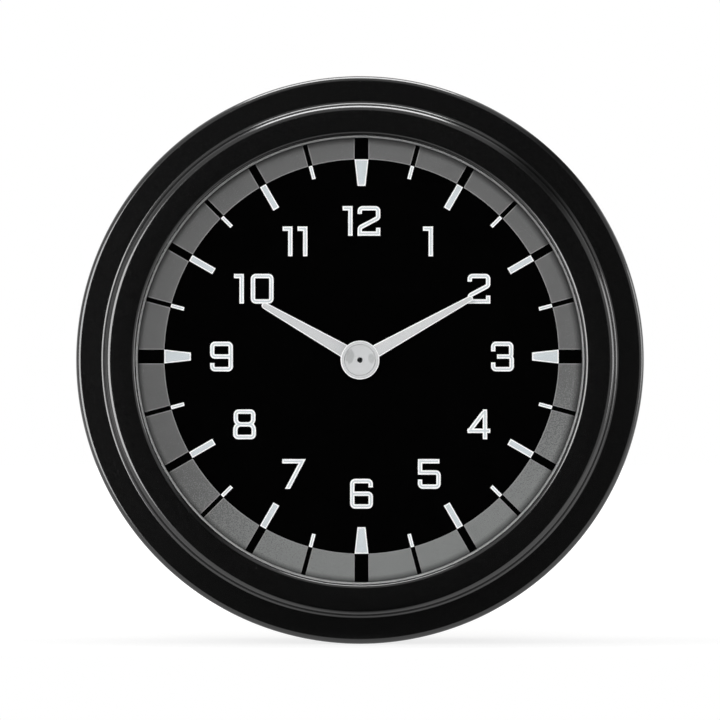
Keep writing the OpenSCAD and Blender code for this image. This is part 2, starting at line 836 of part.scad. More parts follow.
module front_plate() {
  color("#3a3d40")
    dial_frame()
      difference() {
        disc(disc_r, train_z, plate_z);
        disc(pipe_r + run_clear, train_z - cut, plate_z + cut);
        pivot_holes(train_z, plate_z);
        pillar_holes(screw_r + seat_clear, train_z, plate_z);
        on(set_at)
          disc(small_arbor_r + run_clear, train_z - cut, plate_z + cut);
        on(lamp_at)
          disc(holder_r, train_z - cut, plate_z + cut);
      }
}

module rear_plate() {
  color("#c8b273")
    dial_frame()
      difference() {
        movement_outline(spacer_z, rear_plate_z);
        pivot_holes(spacer_z, rear_plate_z);
        pillar_holes(screw_r + seat_clear, spacer_z, rear_plate_z);
        disc(small_arbor_r + run_clear, spacer_z - cut, rear_plate_z + cut);
        on(set_at)
          disc(set_shaft_r + run_clear, spacer_z - cut, rear_plate_z + cut);
      }
}

// A tenon in the front plate, and a tapped hole for the screw from behind
module plate_pillars() {
  color("#b89a4a")
    dial_frame()
      for (p = pillars_at)
        on(p)
          difference() {
            union() {
              disc(pillar_r, rear_plate_z, train_z);
              disc(screw_r, train_z, plate_z);
            }
            disc(screw_r + seat_clear, rear_plate_z - cut, rear_plate_z + screw_grip + tap_room);
          }
}

module board_spacers() {
  color("#b89a4a")
    dial_frame()
      for (p = pillars_at)
        on(p)
          tube(pillar_r, screw_r + seat_clear, board_z, spacer_z);
}

module movement_screws() {
  color("#9a9da0")
    dial_frame()
      for (p = pillars_at)
        on(p)
          difference() {
            union() {
              disc(screw_r, board_back_z, rear_plate_z + screw_grip);
              disc(screw_head_r, board_back_z - screw_head_h, board_back_z);
            }
            block(2 * screw_head_r + cut, screw_slot_w, board_back_z - screw_head_h - cut,
              board_back_z - screw_head_h / 2);
          }
}

// The minute hand's arbor, with the cannon pinion cut on it
module minute_arbor() {
  color("#a8abad")
    dial_frame() {
      difference() {
        disc(arbor_r, centre_wheel_z - wheel_t - pinion_over, arbor_end_z);
        disc(pinhole_r, arbor_end_z - drill_depth, arbor_end_z + cut);
      }
      pinion_teeth(motion_m, CANNON_TEETH, minute_wheel_z - motion_t - pinion_over,
        minute_wheel_z + pinion_over);
      disc(small_arbor_r, spacer_z, centre_wheel_z);
    }
}

module centre_wheel() {
  color("#c9a64f")
    dial_frame()
      difference() {
        wheel_teeth(centre_m, CENTRE_TEETH, centre_wheel_z - wheel_t, centre_wheel_z);
        disc(arbor_r + seat_clear, centre_wheel_z - wheel_t - cut, centre_wheel_z + cut);
        crossings(centre_m, CENTRE_TEETH, centre_wheel_z - wheel_t, centre_wheel_z);
      }
}

module minute_wheel() {
  color("#c9a64f")
    dial_frame()
      on(minute_wheel_at) {
        rotate(minute_wheel_phase)
          wheel_teeth(motion_m, MINUTE_TEETH, minute_wheel_z - motion_t, minute_wheel_z);
        pinion_teeth(motion_m, MINUTE_PINION_TEETH, minute_wheel_z, hour_wheel_z + pinion_over);
        arbor_between_plates(small_arbor_r);
      }
}

module hour_wheel() {
  color("#c9a64f")
    dial_frame()
      difference() {
        union() {
          rotate(hour_wheel_phase)
            wheel_teeth(motion_m, HOUR_TEETH, hour_wheel_z - motion_t, hour_wheel_z);
          disc(pipe_r, hour_wheel_z - motion_t, hour_hand_z + hand_t);
        }
        disc(pipe_in_r, hour_wheel_z - motion_t - cut, hour_hand_z + hand_t + cut);
      }
}

module setting_shaft() {
  color("#a8abad")
    dial_frame()
      on(set_at) {
        rotate(set_phase)
          pinion_teeth(motion_m, SET_TEETH, minute_wheel_z - motion_t - pinion_over,
            minute_wheel_z + pinion_over);
        disc(set_shaft_r, knob_z - knob_len / 2, train_z - end_clear);
        disc(small_arbor_r, train_z - end_clear, plate_z);
      }
}

module setting_knob() {
  color("#222223")
    dial_frame()
      on(set_at)
        difference() {
          fluted(knob_r, knob_z - knob_len, knob_z, knob_flutes, knob_flute_r);
          disc(set_shaft_r + seat_clear, knob_z - knob_len / 2, knob_z + cut);
        }
}

module intermediate_wheel() {
  color("#c9a64f")
    dial_frame()
      on(interm_at)
        difference() {
          wheel_teeth(rotor_m, INTERM_TEETH, interm_wheel_z - wheel_t, interm_wheel_z);
          disc(small_arbor_r + seat_clear, interm_wheel_z - wheel_t - cut, interm_wheel_z + cut);
          crossings(rotor_m, INTERM_TEETH, interm_wheel_z - wheel_t, interm_wheel_z);
        }
}

module intermediate_arbor() {
  color("#a8abad")
    dial_frame()
      on(interm_at) {
        rotate(interm_phase)
          pinion_teeth(centre_m, INTERM_PINION_TEETH, centre_wheel_z - wheel_t - pinion_over,
            centre_wheel_z + pinion_over);
        arbor_between_plates(small_arbor_r);
      }
}

module rotor_arbor() {
  color("#a8abad")
    dial_frame()
      on(rotor_at) {
        rotate(rotor_phase)
          pinion_teeth(rotor_m, ROTOR_TEETH, interm_wheel_z - wheel_t - pinion_over,
            interm_wheel_z + pinion_over);
        arbor_between_plates(small_arbor_r);
      }
}

module rotor_magnet() {
  color("#4a4a4c")
    dial_frame()
      on(rotor_at)
        tube(magnet_r, small_arbor_r + seat_clear, magnet_z - magnet_h, magnet_z);
}

// A yoke round the rotor, with two arms down to the ends of the coil's core
module stator() {
  arms = [for (s = [-1, 1]) coil_at[0] + s * (coil_len + stator_arm_w) / 2];
  yoke_x = [arms[0] - stator_arm_w / 2, arms[1] + stator_arm_w / 2];
  foot_y = coil_at[1] - core_w;
  color("#8d9092")
    dial_frame()
      difference() {
        translate([0, 0, stator_z - stator_t])
          linear_extrude(stator_t) {
            translate([yoke_x[0], rotor_at[1] - yoke_w / 2])
              square([yoke_x[1] - yoke_x[0], yoke_w]);
            for (x = arms)
              translate([x - stator_arm_w / 2, foot_y])
                square([stator_arm_w, rotor_at[1] - foot_y]);
          }
        on(rotor_at)
          disc(magnet_r + air_gap, stator_z - stator_t - cut, stator_z + cut);
      }
}

// Lies along +X on the middle of the coil, just behind the stator
module along_coil() {
  translate([coil_at[0], coil_at[1], coil_z])
    rotate([0, 90, 0])
      children();
}

module coil_core() {
  color("#6f7274")
    dial_frame()
      along_coil()
        block(core_w, core_w, -coil_len / 2 - stator_arm_w, coil_len / 2 + stator_arm_w);
}

module coil_bobbin() {
  half = coil_len / 2 - drop_clear;
  side = core_w + 2 * bobbin_wall;
  color("#2f4f3a")
    dial_frame()
      along_coil()
        difference() {
          union() {
            block(side, side, -half, half);
            for (z = [-half, half - cheek_t])
              disc(cheek_r, z, z + cheek_t);
          }
          block(core_w + 2 * seat_clear, core_w + 2 * seat_clear, -half - cut, half + cut);
        }
}

module coil_winding() {
  half = coil_len / 2 - drop_clear - cheek_t;
  side = core_w + 2 * bobbin_wall + 2 * seat_clear;
  color("#a3582a")
    dial_frame()
      along_coil()
        difference() {
          disc(coil_r, -half, half);
          block(side, side, -half - cut, half + cut);
        }
}

module circuit_board() {
  color("#2f5a36")
    dial_frame()
      difference() {
        movement_outline(board_back_z, board_z);
        pillar_holes(screw_r + seat_clear, board_back_z, board_z);
        on(set_at)
          disc(set_shaft_r + 2 * drop_clear, board_back_z - cut, board_z + cut);
      }
}

module quartz_crystal() {
  color("#b9bcbe")
    dial_frame()
      translate([-crystal_x, parts_rise, board_back_z - crystal_r])
        rotate([0, 90, 0])
          disc(crystal_r, -crystal_len / 2, crystal_len / 2);
}

module driver_chip() {
  color("#19191a")
    dial_frame()
      on([chip_x, -chip_drop])
        block(chip_side, chip_side, board_back_z - chip_h, board_back_z);
}

module capacitor() {
  color("#2a3a66")
    dial_frame()
      on([capacitor_x, parts_rise])
        disc(capacitor_r, rear_in_z + capacitor_room, board_back_z);
}

// A strip from the board down to the head of each terminal stud
module contact_springs() {
  head_z = rear_in_z + stud_head_h;
  drop = board_back_z - head_z;
  slant = 1.5 * spring_t;
  color("#b5803f")
    dial_frame()
      for (p = terminals_at)
        on(p)
          rotate([90, 0, 90])
            translate([0, 0, -spring_w / 2])
              linear_extrude(spring_w) {
                translate([drop / 2, board_back_z - spring_t])
                  square([spring_foot, spring_t]);
                translate([0, head_z])
                  polygon([[drop / 2, drop], [drop / 2 + slant, drop], [slant, 0], [0, 0]]);
                translate([-spring_foot / 2, head_z])
                  square([spring_foot / 2 + spring_t, spring_t]);
              }
}

// Rear fittings

module mounting_studs() {
  color("#a9acae")
    dial_frame()
      for (p = studs_at)
        on(p) {
          shank(stud_r, stud_tip_z, rear_in_z);
          hexagon(stud_head_af, rear_in_z, rear_in_z + stud_head_h);
        }
}

// The groove behind the nut leaves the free end as a plain pin for a ring tag
module terminal_studs() {
  color("#c2a15a")
    dial_frame()
      for (p = terminals_at)
        on(p) {
          hexagon(stud_head_af, rear_in_z, rear_in_z + stud_head_h);
          disc(stud_r, terminal_groove_z, rear_in_z);
          disc(stud_r - groove_depth, terminal_free_z, terminal_groove_z);
          shank(stud_r, terminal_tip_z - stud_chamfer, terminal_free_z);
        }
}

module terminal_washers() {
  color("#b4b7b9")
    dial_frame()
      for (p = terminals_at)
        on(p)
          tube(terminal_washer_r, stud_r + drop_clear, terminal_nut_z, rear_z);
}

module terminal_nuts() {
  color("#c2a15a")
    dial_frame()
      for (p = terminals_at)
        on(p)
          difference() {
            hexagon(terminal_nut_af, terminal_groove_z, terminal_nut_z);
            disc(stud_r + seat_clear, terminal_groove_z - cut, terminal_nut_z + cut);
          }
}

// Clamp

// Rectangle round the Z axis, with its two rear corners rounded
module round_ended(half_w, z0, z1, r) {
  translate([-half_w, z0 + r])
    square([2 * half_w, z1 - z0 - r]);
  translate([-half_w + r, z0])
    square([2 * half_w - 2 * r, z1 - z0]);
  for (s = [-1, 1])
    translate([s * (half_w - r), z0 + r])
      circle(r);
}

module clamp_bracket() {
  inner = barrel_r + leg_gap;
  color("#9b9ea0")
    dial_frame()
      difference() {
        rotate([90, 0, 0])
          translate([0, 0, -strap_w / 2])
            linear_extrude(strap_w)
              difference() {
                round_ended(inner + strap_t, strap_back_z, -panel_t, bend_r + strap_t);
                round_ended(inner, strap_z, -panel_t + cut, bend_r);
              }
        for (p = studs_at)
          on(p)
            disc(stud_r + drop_clear, strap_back_z - cut, strap_z + cut);
      }
}

module clamp_washers() {
  color("#b4b7b9")
    dial_frame()
      for (p = studs_at)
        on(p)
          tube(shoulder_r + clamp_washer_over, stud_r + drop_clear, strap_back_z - washer_t, strap_back_z);
}

module thumb_nuts() {
  front = strap_back_z - washer_t;
  color("#b89a4a")
    dial_frame()
      for (p = studs_at)
        on(p)
          difference() {
            union() {
              disc(shoulder_r, front - shoulder_h, front);
              fluted(thumb_r, front - shoulder_h - thumb_h, front - shoulder_h,
                thumb_flutes, thumb_flute_r);
            }
            disc(stud_r + drop_clear, front - shoulder_h - thumb_h - cut, front + cut);
          }
}

// Dial lamp

module lamp_holder() {
  color("#2b2b2d")
    dial_frame()
      on(lamp_at)
        difference() {
          union() {
            disc(holder_r, holder_back_z, holder_front_z);
            disc(holder_flange_r, holder_back_z, holder_flange_z);
            ear(ear_r, ear_w, rear_in_z + end_clear, rear_in_z + end_clear + ear_t);
            block(grip_len, grip_w, holder_back_z - grip_h, holder_back_z);
          }
          block(wedge_w + 2 * seat_clear, wedge_t + 2 * seat_clear,
            holder_front_z - wedge_len - seat_clear, holder_front_z + cut);
          for (s = [-1, 1])
            translate([0, s * blade_off, 0])
              block(blade_w + 2 * seat_clear, blade_t + 2 * seat_clear,
                holder_back_z - cut, rear_in_z);
        }
}

module lamp_blades() {
  color("#c2a15a")
    dial_frame()
      on(lamp_at)
        for (s = [-1, 1])
          translate([0, s * blade_off, 0])
            block(blade_w, blade_t, holder_back_z - blade_len, rear_in_z - seat_clear);
}

module lamp_bulb() {
  color("#e8e4d8", 0.5)
    dial_frame()
      on(lamp_at) {
        block(wedge_w, wedge_t, holder_front_z - wedge_len, holder_front_z + bulb_r);
        disc(bulb_r, holder_front_z + end_clear, holder_front_z + bulb_len - bulb_r);
        translate([0, 0, holder_front_z + bulb_len - bulb_r])
          sphere(bulb_r);
      }
}

bezel();
lens();
lens_gasket();
spacer_ring();
dial();
hour_hand();
minute_hand();
case();
flange_ring();
front_plate();
rear_plate();
plate_pillars();
board_spacers();
movement_screws();
minute_arbor();
centre_wheel();
minute_wheel();
hour_wheel();
setting_shaft();
setting_knob();
intermediate_wheel();
intermediate_arbor();
rotor_arbor();
rotor_magnet();
stator();
coil_core();
coil_bobbin();
coil_winding();
circuit_board();
quartz_crystal();
driver_chip();
capacitor();
contact_springs();
mounting_studs();
terminal_studs();
terminal_washers();
terminal_nuts();
clamp_bracket();
clamp_washers();
thumb_nuts();
lamp_holder();
lamp_blades();
lamp_bulb();
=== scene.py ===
"""A round two-hand dashboard clock: finishes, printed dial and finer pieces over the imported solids.

Pieces are drawn in the dial's own frame, in millimetres: x to the right, y up, z towards the viewer.
In the row frame the dial faces -Y and twelve o'clock is +Z, so a dial point (x, y, z) is at (x, -z, y).
"""

import math

import bmesh
import bpy
from mathutils import Matrix, Vector


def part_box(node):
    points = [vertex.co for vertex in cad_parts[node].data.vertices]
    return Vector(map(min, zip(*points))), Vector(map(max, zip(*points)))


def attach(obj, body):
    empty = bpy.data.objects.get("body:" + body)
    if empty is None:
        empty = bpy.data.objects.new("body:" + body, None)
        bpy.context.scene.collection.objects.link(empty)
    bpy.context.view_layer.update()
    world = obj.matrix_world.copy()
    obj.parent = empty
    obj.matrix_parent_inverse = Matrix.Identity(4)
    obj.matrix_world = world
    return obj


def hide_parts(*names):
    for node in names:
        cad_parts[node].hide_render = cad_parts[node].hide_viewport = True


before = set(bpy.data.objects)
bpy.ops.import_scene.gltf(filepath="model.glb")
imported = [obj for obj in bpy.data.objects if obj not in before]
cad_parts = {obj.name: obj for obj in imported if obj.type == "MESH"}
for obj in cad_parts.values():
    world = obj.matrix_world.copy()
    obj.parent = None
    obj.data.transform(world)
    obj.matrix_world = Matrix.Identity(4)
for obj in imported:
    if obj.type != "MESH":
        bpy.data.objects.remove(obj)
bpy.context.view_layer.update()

MM = 0.001


def span(node, axis):
    """The two ends of a solid along an axis of the dial's frame, in millimetres."""
    low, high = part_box(node)
    ends = {"x": (low.x, high.x), "y": (low.z, high.z), "z": (-high.y, -low.y)}[axis]
    return [end / MM for end in ends]


# Bezel, with the play behind it
BEZEL_R = span("bezel", "x")[1]
BEZEL_FRONT = span("bezel", "z")[1]
OUTER_BAND = 3.5
RISER_R = 27.1
APERTURE_R = 23.8
RIM_ROUND = 0.55
STEP_FILLET = 0.4
STEP_ROUND = 0.68
LIP_ROUND = 0.47
CRIMP = 0.6
LOOSE = 0.15
BARREL_R = span("case", "x")[1]
FLANGE_R = span("flange_ring", "x")[1]
FLANGE_FRONT = span("flange_ring", "z")[1]

# Glass, spacer and dial
GLASS_R = span("lens", "x")[1]
GLASS_BACK, GLASS_FRONT = span("lens", "z")
GLASS_EDGE = 0.12
SPACER_R = span("spacer_ring", "x")[1]
SPACER_BACK, SPACER_FRONT = span("spacer_ring", "z")
SPACER_IN_R = 23.66
SPACER_EDGE = 0.06
DIAL_R = span("dial", "x")[1]
DIAL_BACK, DIAL_FRONT = span("dial", "z")
DIAL_HOLE_R = 1.9
DIAL_EDGE = 0.04

# Print on the dial: its centre is a little up and to the right of the hands
PRINT_X = 0.16
PRINT_Y = 0.37
# Thickness of one pass of ink
INK = 0.012
# The grey ring: its pale edge line, its inside, and its outside a little short of the spacer
KEYLINE = 0.1
RING_IN_R = 21.0
RING_GAP = 0.02
RING_OUT_R = SPACER_IN_R - RING_GAP
# Painted shade under the lip, which is a little wider on the right of the ring
RING_SHADE_R = 23.0
RING_SHADE_X = 0.12
RING_SHADE = 0.25
# The ring's ink is lighter low on the dial, in specks, most on the right
FADE_WAY = (0.26, 0.0, -0.966)
FADE_START, FADE_END = 4.0, 21.0
# How far the fade reaches past none and all at its ends, the size of its specks, and how soft they are
FADE_SPAN = 2.0
SPECK, SPECK_SOFT = 0.13, 0.15
# A mark stands at each half hour: its gap in the ring, and the white mark's length, outer and inner width
MARKS = 24
MARK_TURN = 360 / MARKS
QUARTER_GAP, QUARTER_MARK = 1.48, (2.83, 1.48, 0.85)
HOUR_GAP, HOUR_MARK = 0.85, (2.86, 0.72, 0.72)
HALF_GAP, HALF_MARK = 0.48, (1.44, 0.39, 0.39)
# How far in from a mark's edge its second pass starts
MARK_EDGE = 0.13

# Numerals of a squared face: the pen's width, and its width in the paler second pass
STROKE = 0.47
STROKE_CORE = 0.17
HALF = STROKE / 2
# Half the width and height of a digit's centre line, and the whole width of the digit 1
WIDE = 0.98
HIGH = 1.35
ONE_W = 1.06
# Rounding of a corner and of the waist of the 8, how far in upper bowls are drawn, and how far bars run on
ROUND = 0.3
WAIST = 0.55
BOWL_IN = 0.05
JOIN = 0.1
# Space between two digits, the circle that the numerals stand on, and degrees from one hour to the next
DIGIT_GAP = 0.53
NUMERAL_R = 14.44
NUMERAL_TURN = 30
HOURS = range(1, 13)
# Each stroke of a digit stands a little higher than the one before, so that no two faces share a place
STROKE_RISE = INK / 6
# The limit that keeps a mitre short at a sharp corner, and the slope from which an end is cut level
MITRE_LEAST = 0.25
SLOPED = 0.1

# Hands: degrees clockwise from twelve, length, width at the axis and width at the tip
HOUR_AT = 299.7
HOUR_LEN = 12.0
HOUR_W = 1.58
HOUR_TIP = 0.69
MINUTE_AT = 60.9
MINUTE_LEN = 13.7
MINUTE_W = 1.5
MINUTE_TIP = 0.6
# A blade's thickness, and the width and depth of the slope along its edge
HAND_T = 0.3
HAND_EDGE = 0.12
HAND_DROP = 0.04
# The hour hand's blade starts inside its boss
HOUR_BACK, HOUR_FRONT = span("hour_hand", "z")
HOUR_BOSS_R = 1.95
HOUR_BOSS_IN_R = 1.56
BOSS_EDGE = 0.04
BOSS_LAP = 0.1
HOUR_ROOT = HOUR_BOSS_IN_R + BOSS_LAP
# The minute hand's hub: a flat rim with a fine groove inside it, and a dish down to a pinhole
HUB_BACK, HUB_FRONT = span("minute_hand", "z")
HUB_R = 2.06
HUB_RIM = 0.37
HUB_EDGE = 0.1
HUB_DROP = 0.04
GROOVE_W, GROOVE_DEEP = 0.1, 0.12
DISH = 0.16
PINHOLE_R = 0.29
ARBOR_R = 1.03
HUB_WEB = 0.25
# The minute hand's blade starts inside the hub, and lies this far above its back
HUB_LAP = 0.3
MINUTE_ROOT = HUB_R - HUB_LAP
BLADE_RISE = 0.22
MINUTE_BLADE = HUB_BACK + BLADE_RISE
# Spots of painted shade on the hub: their place, half width and half height, and the share of its shade that
# is left
HUB_SHADE_SPOTS = [(-1.14, 0.44, 0.48, 0.84, 0.72), (1.24, 0.16, 0.36, 0.5, 0.76)]

# Edges broken on the moulded and bent pieces
CASE_EDGE = 0.15
CLAMP_EDGE = 0.12
HOLDER_EDGE = 0.12
BLADE_EDGE = 0.1

# Studs, terminals, nuts and washers
STUD_X = 17.0
STUD_R = 2.0
STUD_TIP, STUD_HEAD = span("mounting_studs", "z")
STUD_HEAD_H = 1.6
STUD_HEAD_AF = 6.0
STUD_HEAD_HOLE_R = 0.3
STUD_CHAMFER = 0.5
THREAD_PITCH = 0.7
THREAD_DEPTH = 0.38
# Shares of half a pitch: the flat at the thread's root, and its flank
THREAD_ROOT, THREAD_FLANK = 0.12, 0.7
TERMINAL_X = 13.5
TERMINAL_Y = -13.5
TERMINAL_TIP, TERMINAL_HEAD = span("terminal_studs", "z")
NUT_BACK, NUT_FRONT = span("terminal_nuts", "z")
NUT_AF = 7.0
NUT_HOLE_R = 2.03
# A hexagon's faces are turned down to a circle, from which its corners fall away at a slope in degrees
HEX_FACE = 0.96
HEX_SLOPE = 30
# Countersink of its hole
HEX_SINK = 0.25
WASHER_BACK, WASHER_FRONT = span("terminal_washers", "z")
WASHER_R = 4.2
WASHER_HOLE_R = 2.15
WASHER_EDGE = 0.12
CLAMP_WASHER_BACK, CLAMP_WASHER_FRONT = span("clamp_washers", "z")

# Fluted grips: the clamp's thumb nuts and the setting knob
THUMB_BACK, THUMB_FRONT = span("thumb_nuts", "z")
THUMB_R = 5.5
THUMB_HOLE_R = 2.15
THUMB_FLUTES = 20
THUMB_FLUTE_R = 0.6
THUMB_BACK_EDGE = 0.35
THUMB_FRONT_EDGE = 0.3
THUMB_SHOULDER = 1.0
THUMB_SINK = 0.4
SHOULDER_R = 3.6
SHOULDER_EDGE = 0.15
KNOB_Y = sum(span("setting_knob", "y")) / 2
KNOB_BACK, KNOB_FRONT = span("setting_knob", "z")
KNOB_R = 4.6
KNOB_FLUTES = 18
KNOB_FLUTE_R = 0.5
KNOB_HOLE_R = 1.23
KNOB_DISH_R = 2.9
KNOB_DISH = 0.3
KNOB_BACK_EDGE = 0.45
# The middle of the round on the knob's back edge: how deep it lies, and how far in
KNOB_ROUND_DEEP, KNOB_ROUND_IN = 0.13, 0.16
KNOB_FRONT_EDGE = 0.25

# Steps round a large piece, the hub, a small piece and a thread, and rows in a thread's pitch
TURN_STEPS = 240
HUB_STEPS = 128
SMALL_STEPS = 96
THREAD_STEPS, THREAD_ROWS = 48, 10
# Steps along a flute, a hand's tip, a piece of the ring, a round, the bezel's widest one and a digit's corner
FLUTE_STEPS = 16
TIP_STEPS = 16
ARC_STEPS = 12
ROUND_STEPS = 10
WIDE_ROUND_STEPS = 14
CORNER_STEPS = 6
# Points this near, in metres, count as one
WELD = 1e-7
# Edges sharper than this, in degrees, show as edges
CREASE = 35


# Finishes

# Detail of a pattern with finer ones in it, and of a plain one
RICH, PLAIN = 4.0, 2.0
# Most values of a grain lie between these
GRAIN_LOW, GRAIN_HIGH = 0.3, 0.7
# Spots of painted shade: the size of the grain that makes their edges uneven
SPOT_GRAIN = 0.5
# Where a spot's edge starts and ends, in its half widths with the grain added
SPOT_IN, SPOT_OUT = 1.3, 1.6
# Rub marks: how strong they are, the size of their patches, and the values between which both fade in
RUB = 0.34
RUB_PATCH = 14.0
RUB_LOW, RUB_HIGH = 0.54, 0.72
PATCH_LOW, PATCH_HIGH = 0.42, 0.62


def linear(code):
    """An sRGB hex colour as the linear colour that a shader takes."""
    parts = [int(code[i:i + 2], 16) / 255 for i in (1, 3, 5)]
    return [p / 12.92 if p <= 0.04045 else ((p + 0.055) / 1.055) ** 2.4 for p in parts] + [1.0]


def per_metre(mm):
    """How often a pattern of that size in millimetres repeats in a metre."""
    return 1 / (mm * MM)


def add(tree, kind, inputs=None, **settings):
    """Adds a node with its settings, and links or sets its inputs by name."""
    node = tree.nodes.new(kind)
    for name, value in settings.items():
        setattr(node, name, value)
    for name, value in (inputs or {}).items():
        if isinstance(value, bpy.types.NodeSocket):
            tree.links.new(value, node.inputs[name])
        else:
            node.inputs[name].default_value = value
    return node


def bare(name, inputs):
    """A new material with one plain shader, and the place on the piece that its patterns are drawn from."""
    material = bpy.data.materials.new(name)
    material.use_nodes = True
    tree = material.node_tree
    tree.nodes.clear()
    shader = add(tree, "ShaderNodeBsdfPrincipled", inputs)
    add(tree, "ShaderNodeOutputMaterial", {"Surface": shader.outputs["BSDF"]})
    place = add(tree, "ShaderNodeTexCoord").outputs["Object"]
    return material, tree, shader, place


def surface(name, shades, patch_mm, roughness, grain_mm, bump_mm, **inputs):
    """A finish whose colour drifts between two shades in patches, with a finer grain in gloss and relief.

    A real grain is often finer than the one given: it is drawn at 0.08 mm or more, so that it shows.
    """
    material, tree, shader, place = bare(name, inputs)
    patches = add(tree, "ShaderNodeTexNoise", {"Vector": place, "Scale": per_metre(patch_mm), "Detail": RICH})
    grain = add(tree, "ShaderNodeTexNoise", {"Vector": place, "Scale": per_metre(grain_mm), "Detail": PLAIN})
    colour = add(tree, "ShaderNodeMixRGB", {
        "Fac": patches.outputs["Fac"], "Color1": linear(shades[0]), "Color2": linear(shades[1])})
    gloss = add(tree, "ShaderNodeMapRange", {
        "Value": grain.outputs["Fac"], "From Min": GRAIN_LOW, "From Max": GRAIN_HIGH,
        "To Min": roughness[0], "To Max": roughness[1]})
    relief = add(tree, "ShaderNodeBump", {
        "Height": grain.outputs["Fac"], "Strength": 1.0, "Distance": bump_mm * MM})
    tree.links.new(colour.outputs["Color"], shader.inputs["Base Color"])
    tree.links.new(gloss.outputs["Result"], shader.inputs["Roughness"])
    tree.links.new(relief.outputs["Normal"], shader.inputs["Normal"])
    return material


def opened(material):
    """A finish's node tree, and the place on the piece that its patterns are drawn from."""
    tree = material.node_tree
    return tree, tree.nodes["Texture Coordinate"].outputs["Object"]


def lay_over(material, share, shade, blend="MIX"):
    """Lays a shade over the colour that a finish has so far, by a share."""
    tree = material.node_tree
    base = tree.nodes["Principled BSDF"].inputs["Base Color"]
    colour = add(tree, "ShaderNodeMixRGB", {
        "Fac": share, "Color1": base.links[0].from_socket, "Color2": shade}, blend_type=blend)
    tree.links.new(colour.outputs["Color"], base)


def darkened_rim(material, r_from, r_to, right, share):
    """Paints shade into a finish, down to a share of its colour between two radii, for a corner that gets
    little light.

    The radii are drawn from a point left of the middle, so the shade is wider on the right.
    """
    tree, place = opened(material)
    flat = add(tree, "ShaderNodeVectorMath", {0: place, 1: (1.0, 0.0, 1.0), 2: (right * MM, 0.0, 0.0)},
               operation="MULTIPLY_ADD")
    radius = add(tree, "ShaderNodeVectorMath", {0: flat.outputs["Vector"]}, operation="LENGTH")
    shade = add(tree, "ShaderNodeMapRange", {
        "Value": radius.outputs["Value"], "From Min": r_from * MM, "From Max": r_to * MM,
        "To Min": 1.0, "To Max": share})
    lay_over(material, 1.0, shade.outputs["Result"], "MULTIPLY")


def sun_faded(material, way, start, end, shade):
    """Lays a lighter shade over a finish in specks, which grow denser from a start to an end along a way."""
    tree, place = opened(material)
    along = add(tree, "ShaderNodeVectorMath", {0: place, 1: way}, operation="DOT_PRODUCT")
    lightening = add(tree, "ShaderNodeMapRange", {
        "Value": along.outputs["Value"], "From Min": start * MM, "From Max": end * MM,
        "To Min": -FADE_SPAN / 2, "To Max": FADE_SPAN / 2})
    speck = add(tree, "ShaderNodeTexNoise", {"Vector": place, "Scale": per_metre(SPECK), "Detail": 0.0})
    speck = add(tree, "ShaderNodeMapRange", {
        "Value": speck.outputs["Fac"], "From Min": 0.5 - SPECK_SOFT, "From Max": 0.5 + SPECK_SOFT},
        clamp=False)
    share = add(tree, "ShaderNodeMath", {0: lightening.outputs["Result"], 1: speck.outputs["Result"]},
                operation="ADD", use_clamp=True)
    lay_over(material, share.outputs["Value"], linear(shade))


def worn_spots(material, spots):
    """Paints shade into a finish in spots of (x, y, half width, half height, share) with an uneven edge."""
    tree, place = opened(material)
    edge = add(tree, "ShaderNodeTexNoise", {"Vector": place, "Scale": per_metre(SPOT_GRAIN), "Detail": PLAIN})
    for x, y, half_w, half_h, share in spots:
        away = add(tree, "ShaderNodeVectorMath", {0: place, 1: (x * MM, 0.0, y * MM)}, operation="SUBTRACT")
        away = add(tree, "ShaderNodeVectorMath", {
            0: away.outputs["Vector"], 1: (per_metre(half_w), 0.0, per_metre(half_h))}, operation="MULTIPLY")
        away = add(tree, "ShaderNodeVectorMath", {0: away.outputs["Vector"]}, operation="LENGTH")
        uneven = add(tree, "ShaderNodeMath", {0: away.outputs["Value"], 1: edge.outputs["Fac"]},
                     operation="ADD")
        shade = add(tree, "ShaderNodeMapRange", {
            "Value": uneven.outputs["Value"], "From Min": SPOT_IN, "From Max": SPOT_OUT,
            "To Min": share, "To Max": 1.0})
        lay_over(material, 1.0, shade.outputs["Result"], "MULTIPLY")


def rubbed(material, mark, shade):
    """Adds faint rub marks in patches, in a lighter shade. A mark's size is in millimetres in the row frame.

    Real scratches are finer, and are drawn this coarse so that they show.
    """
    tree, place = opened(material)
    drawn = add(tree, "ShaderNodeVectorMath", {0: place, 1: [per_metre(size) for size in mark]},
                operation="MULTIPLY")
    marks = add(tree, "ShaderNodeTexNoise", {
        "Vector": drawn.outputs["Vector"], "Scale": 1.0, "Detail": PLAIN})
    marks = add(tree, "ShaderNodeMapRange", {
        "Value": marks.outputs["Fac"], "From Min": RUB_LOW, "From Max": RUB_HIGH, "To Max": RUB})
    patches = add(tree, "ShaderNodeTexNoise", {
        "Vector": place, "Scale": per_metre(RUB_PATCH), "Detail": PLAIN})
    patches = add(tree, "ShaderNodeMapRange", {
        "Value": patches.outputs["Fac"], "From Min": PATCH_LOW, "From Max": PATCH_HIGH})
    share = add(tree, "ShaderNodeMath", {0: marks.outputs["Result"], 1: patches.outputs["Result"]},
                operation="MULTIPLY")
    lay_over(material, share.outputs["Value"], linear(shade))


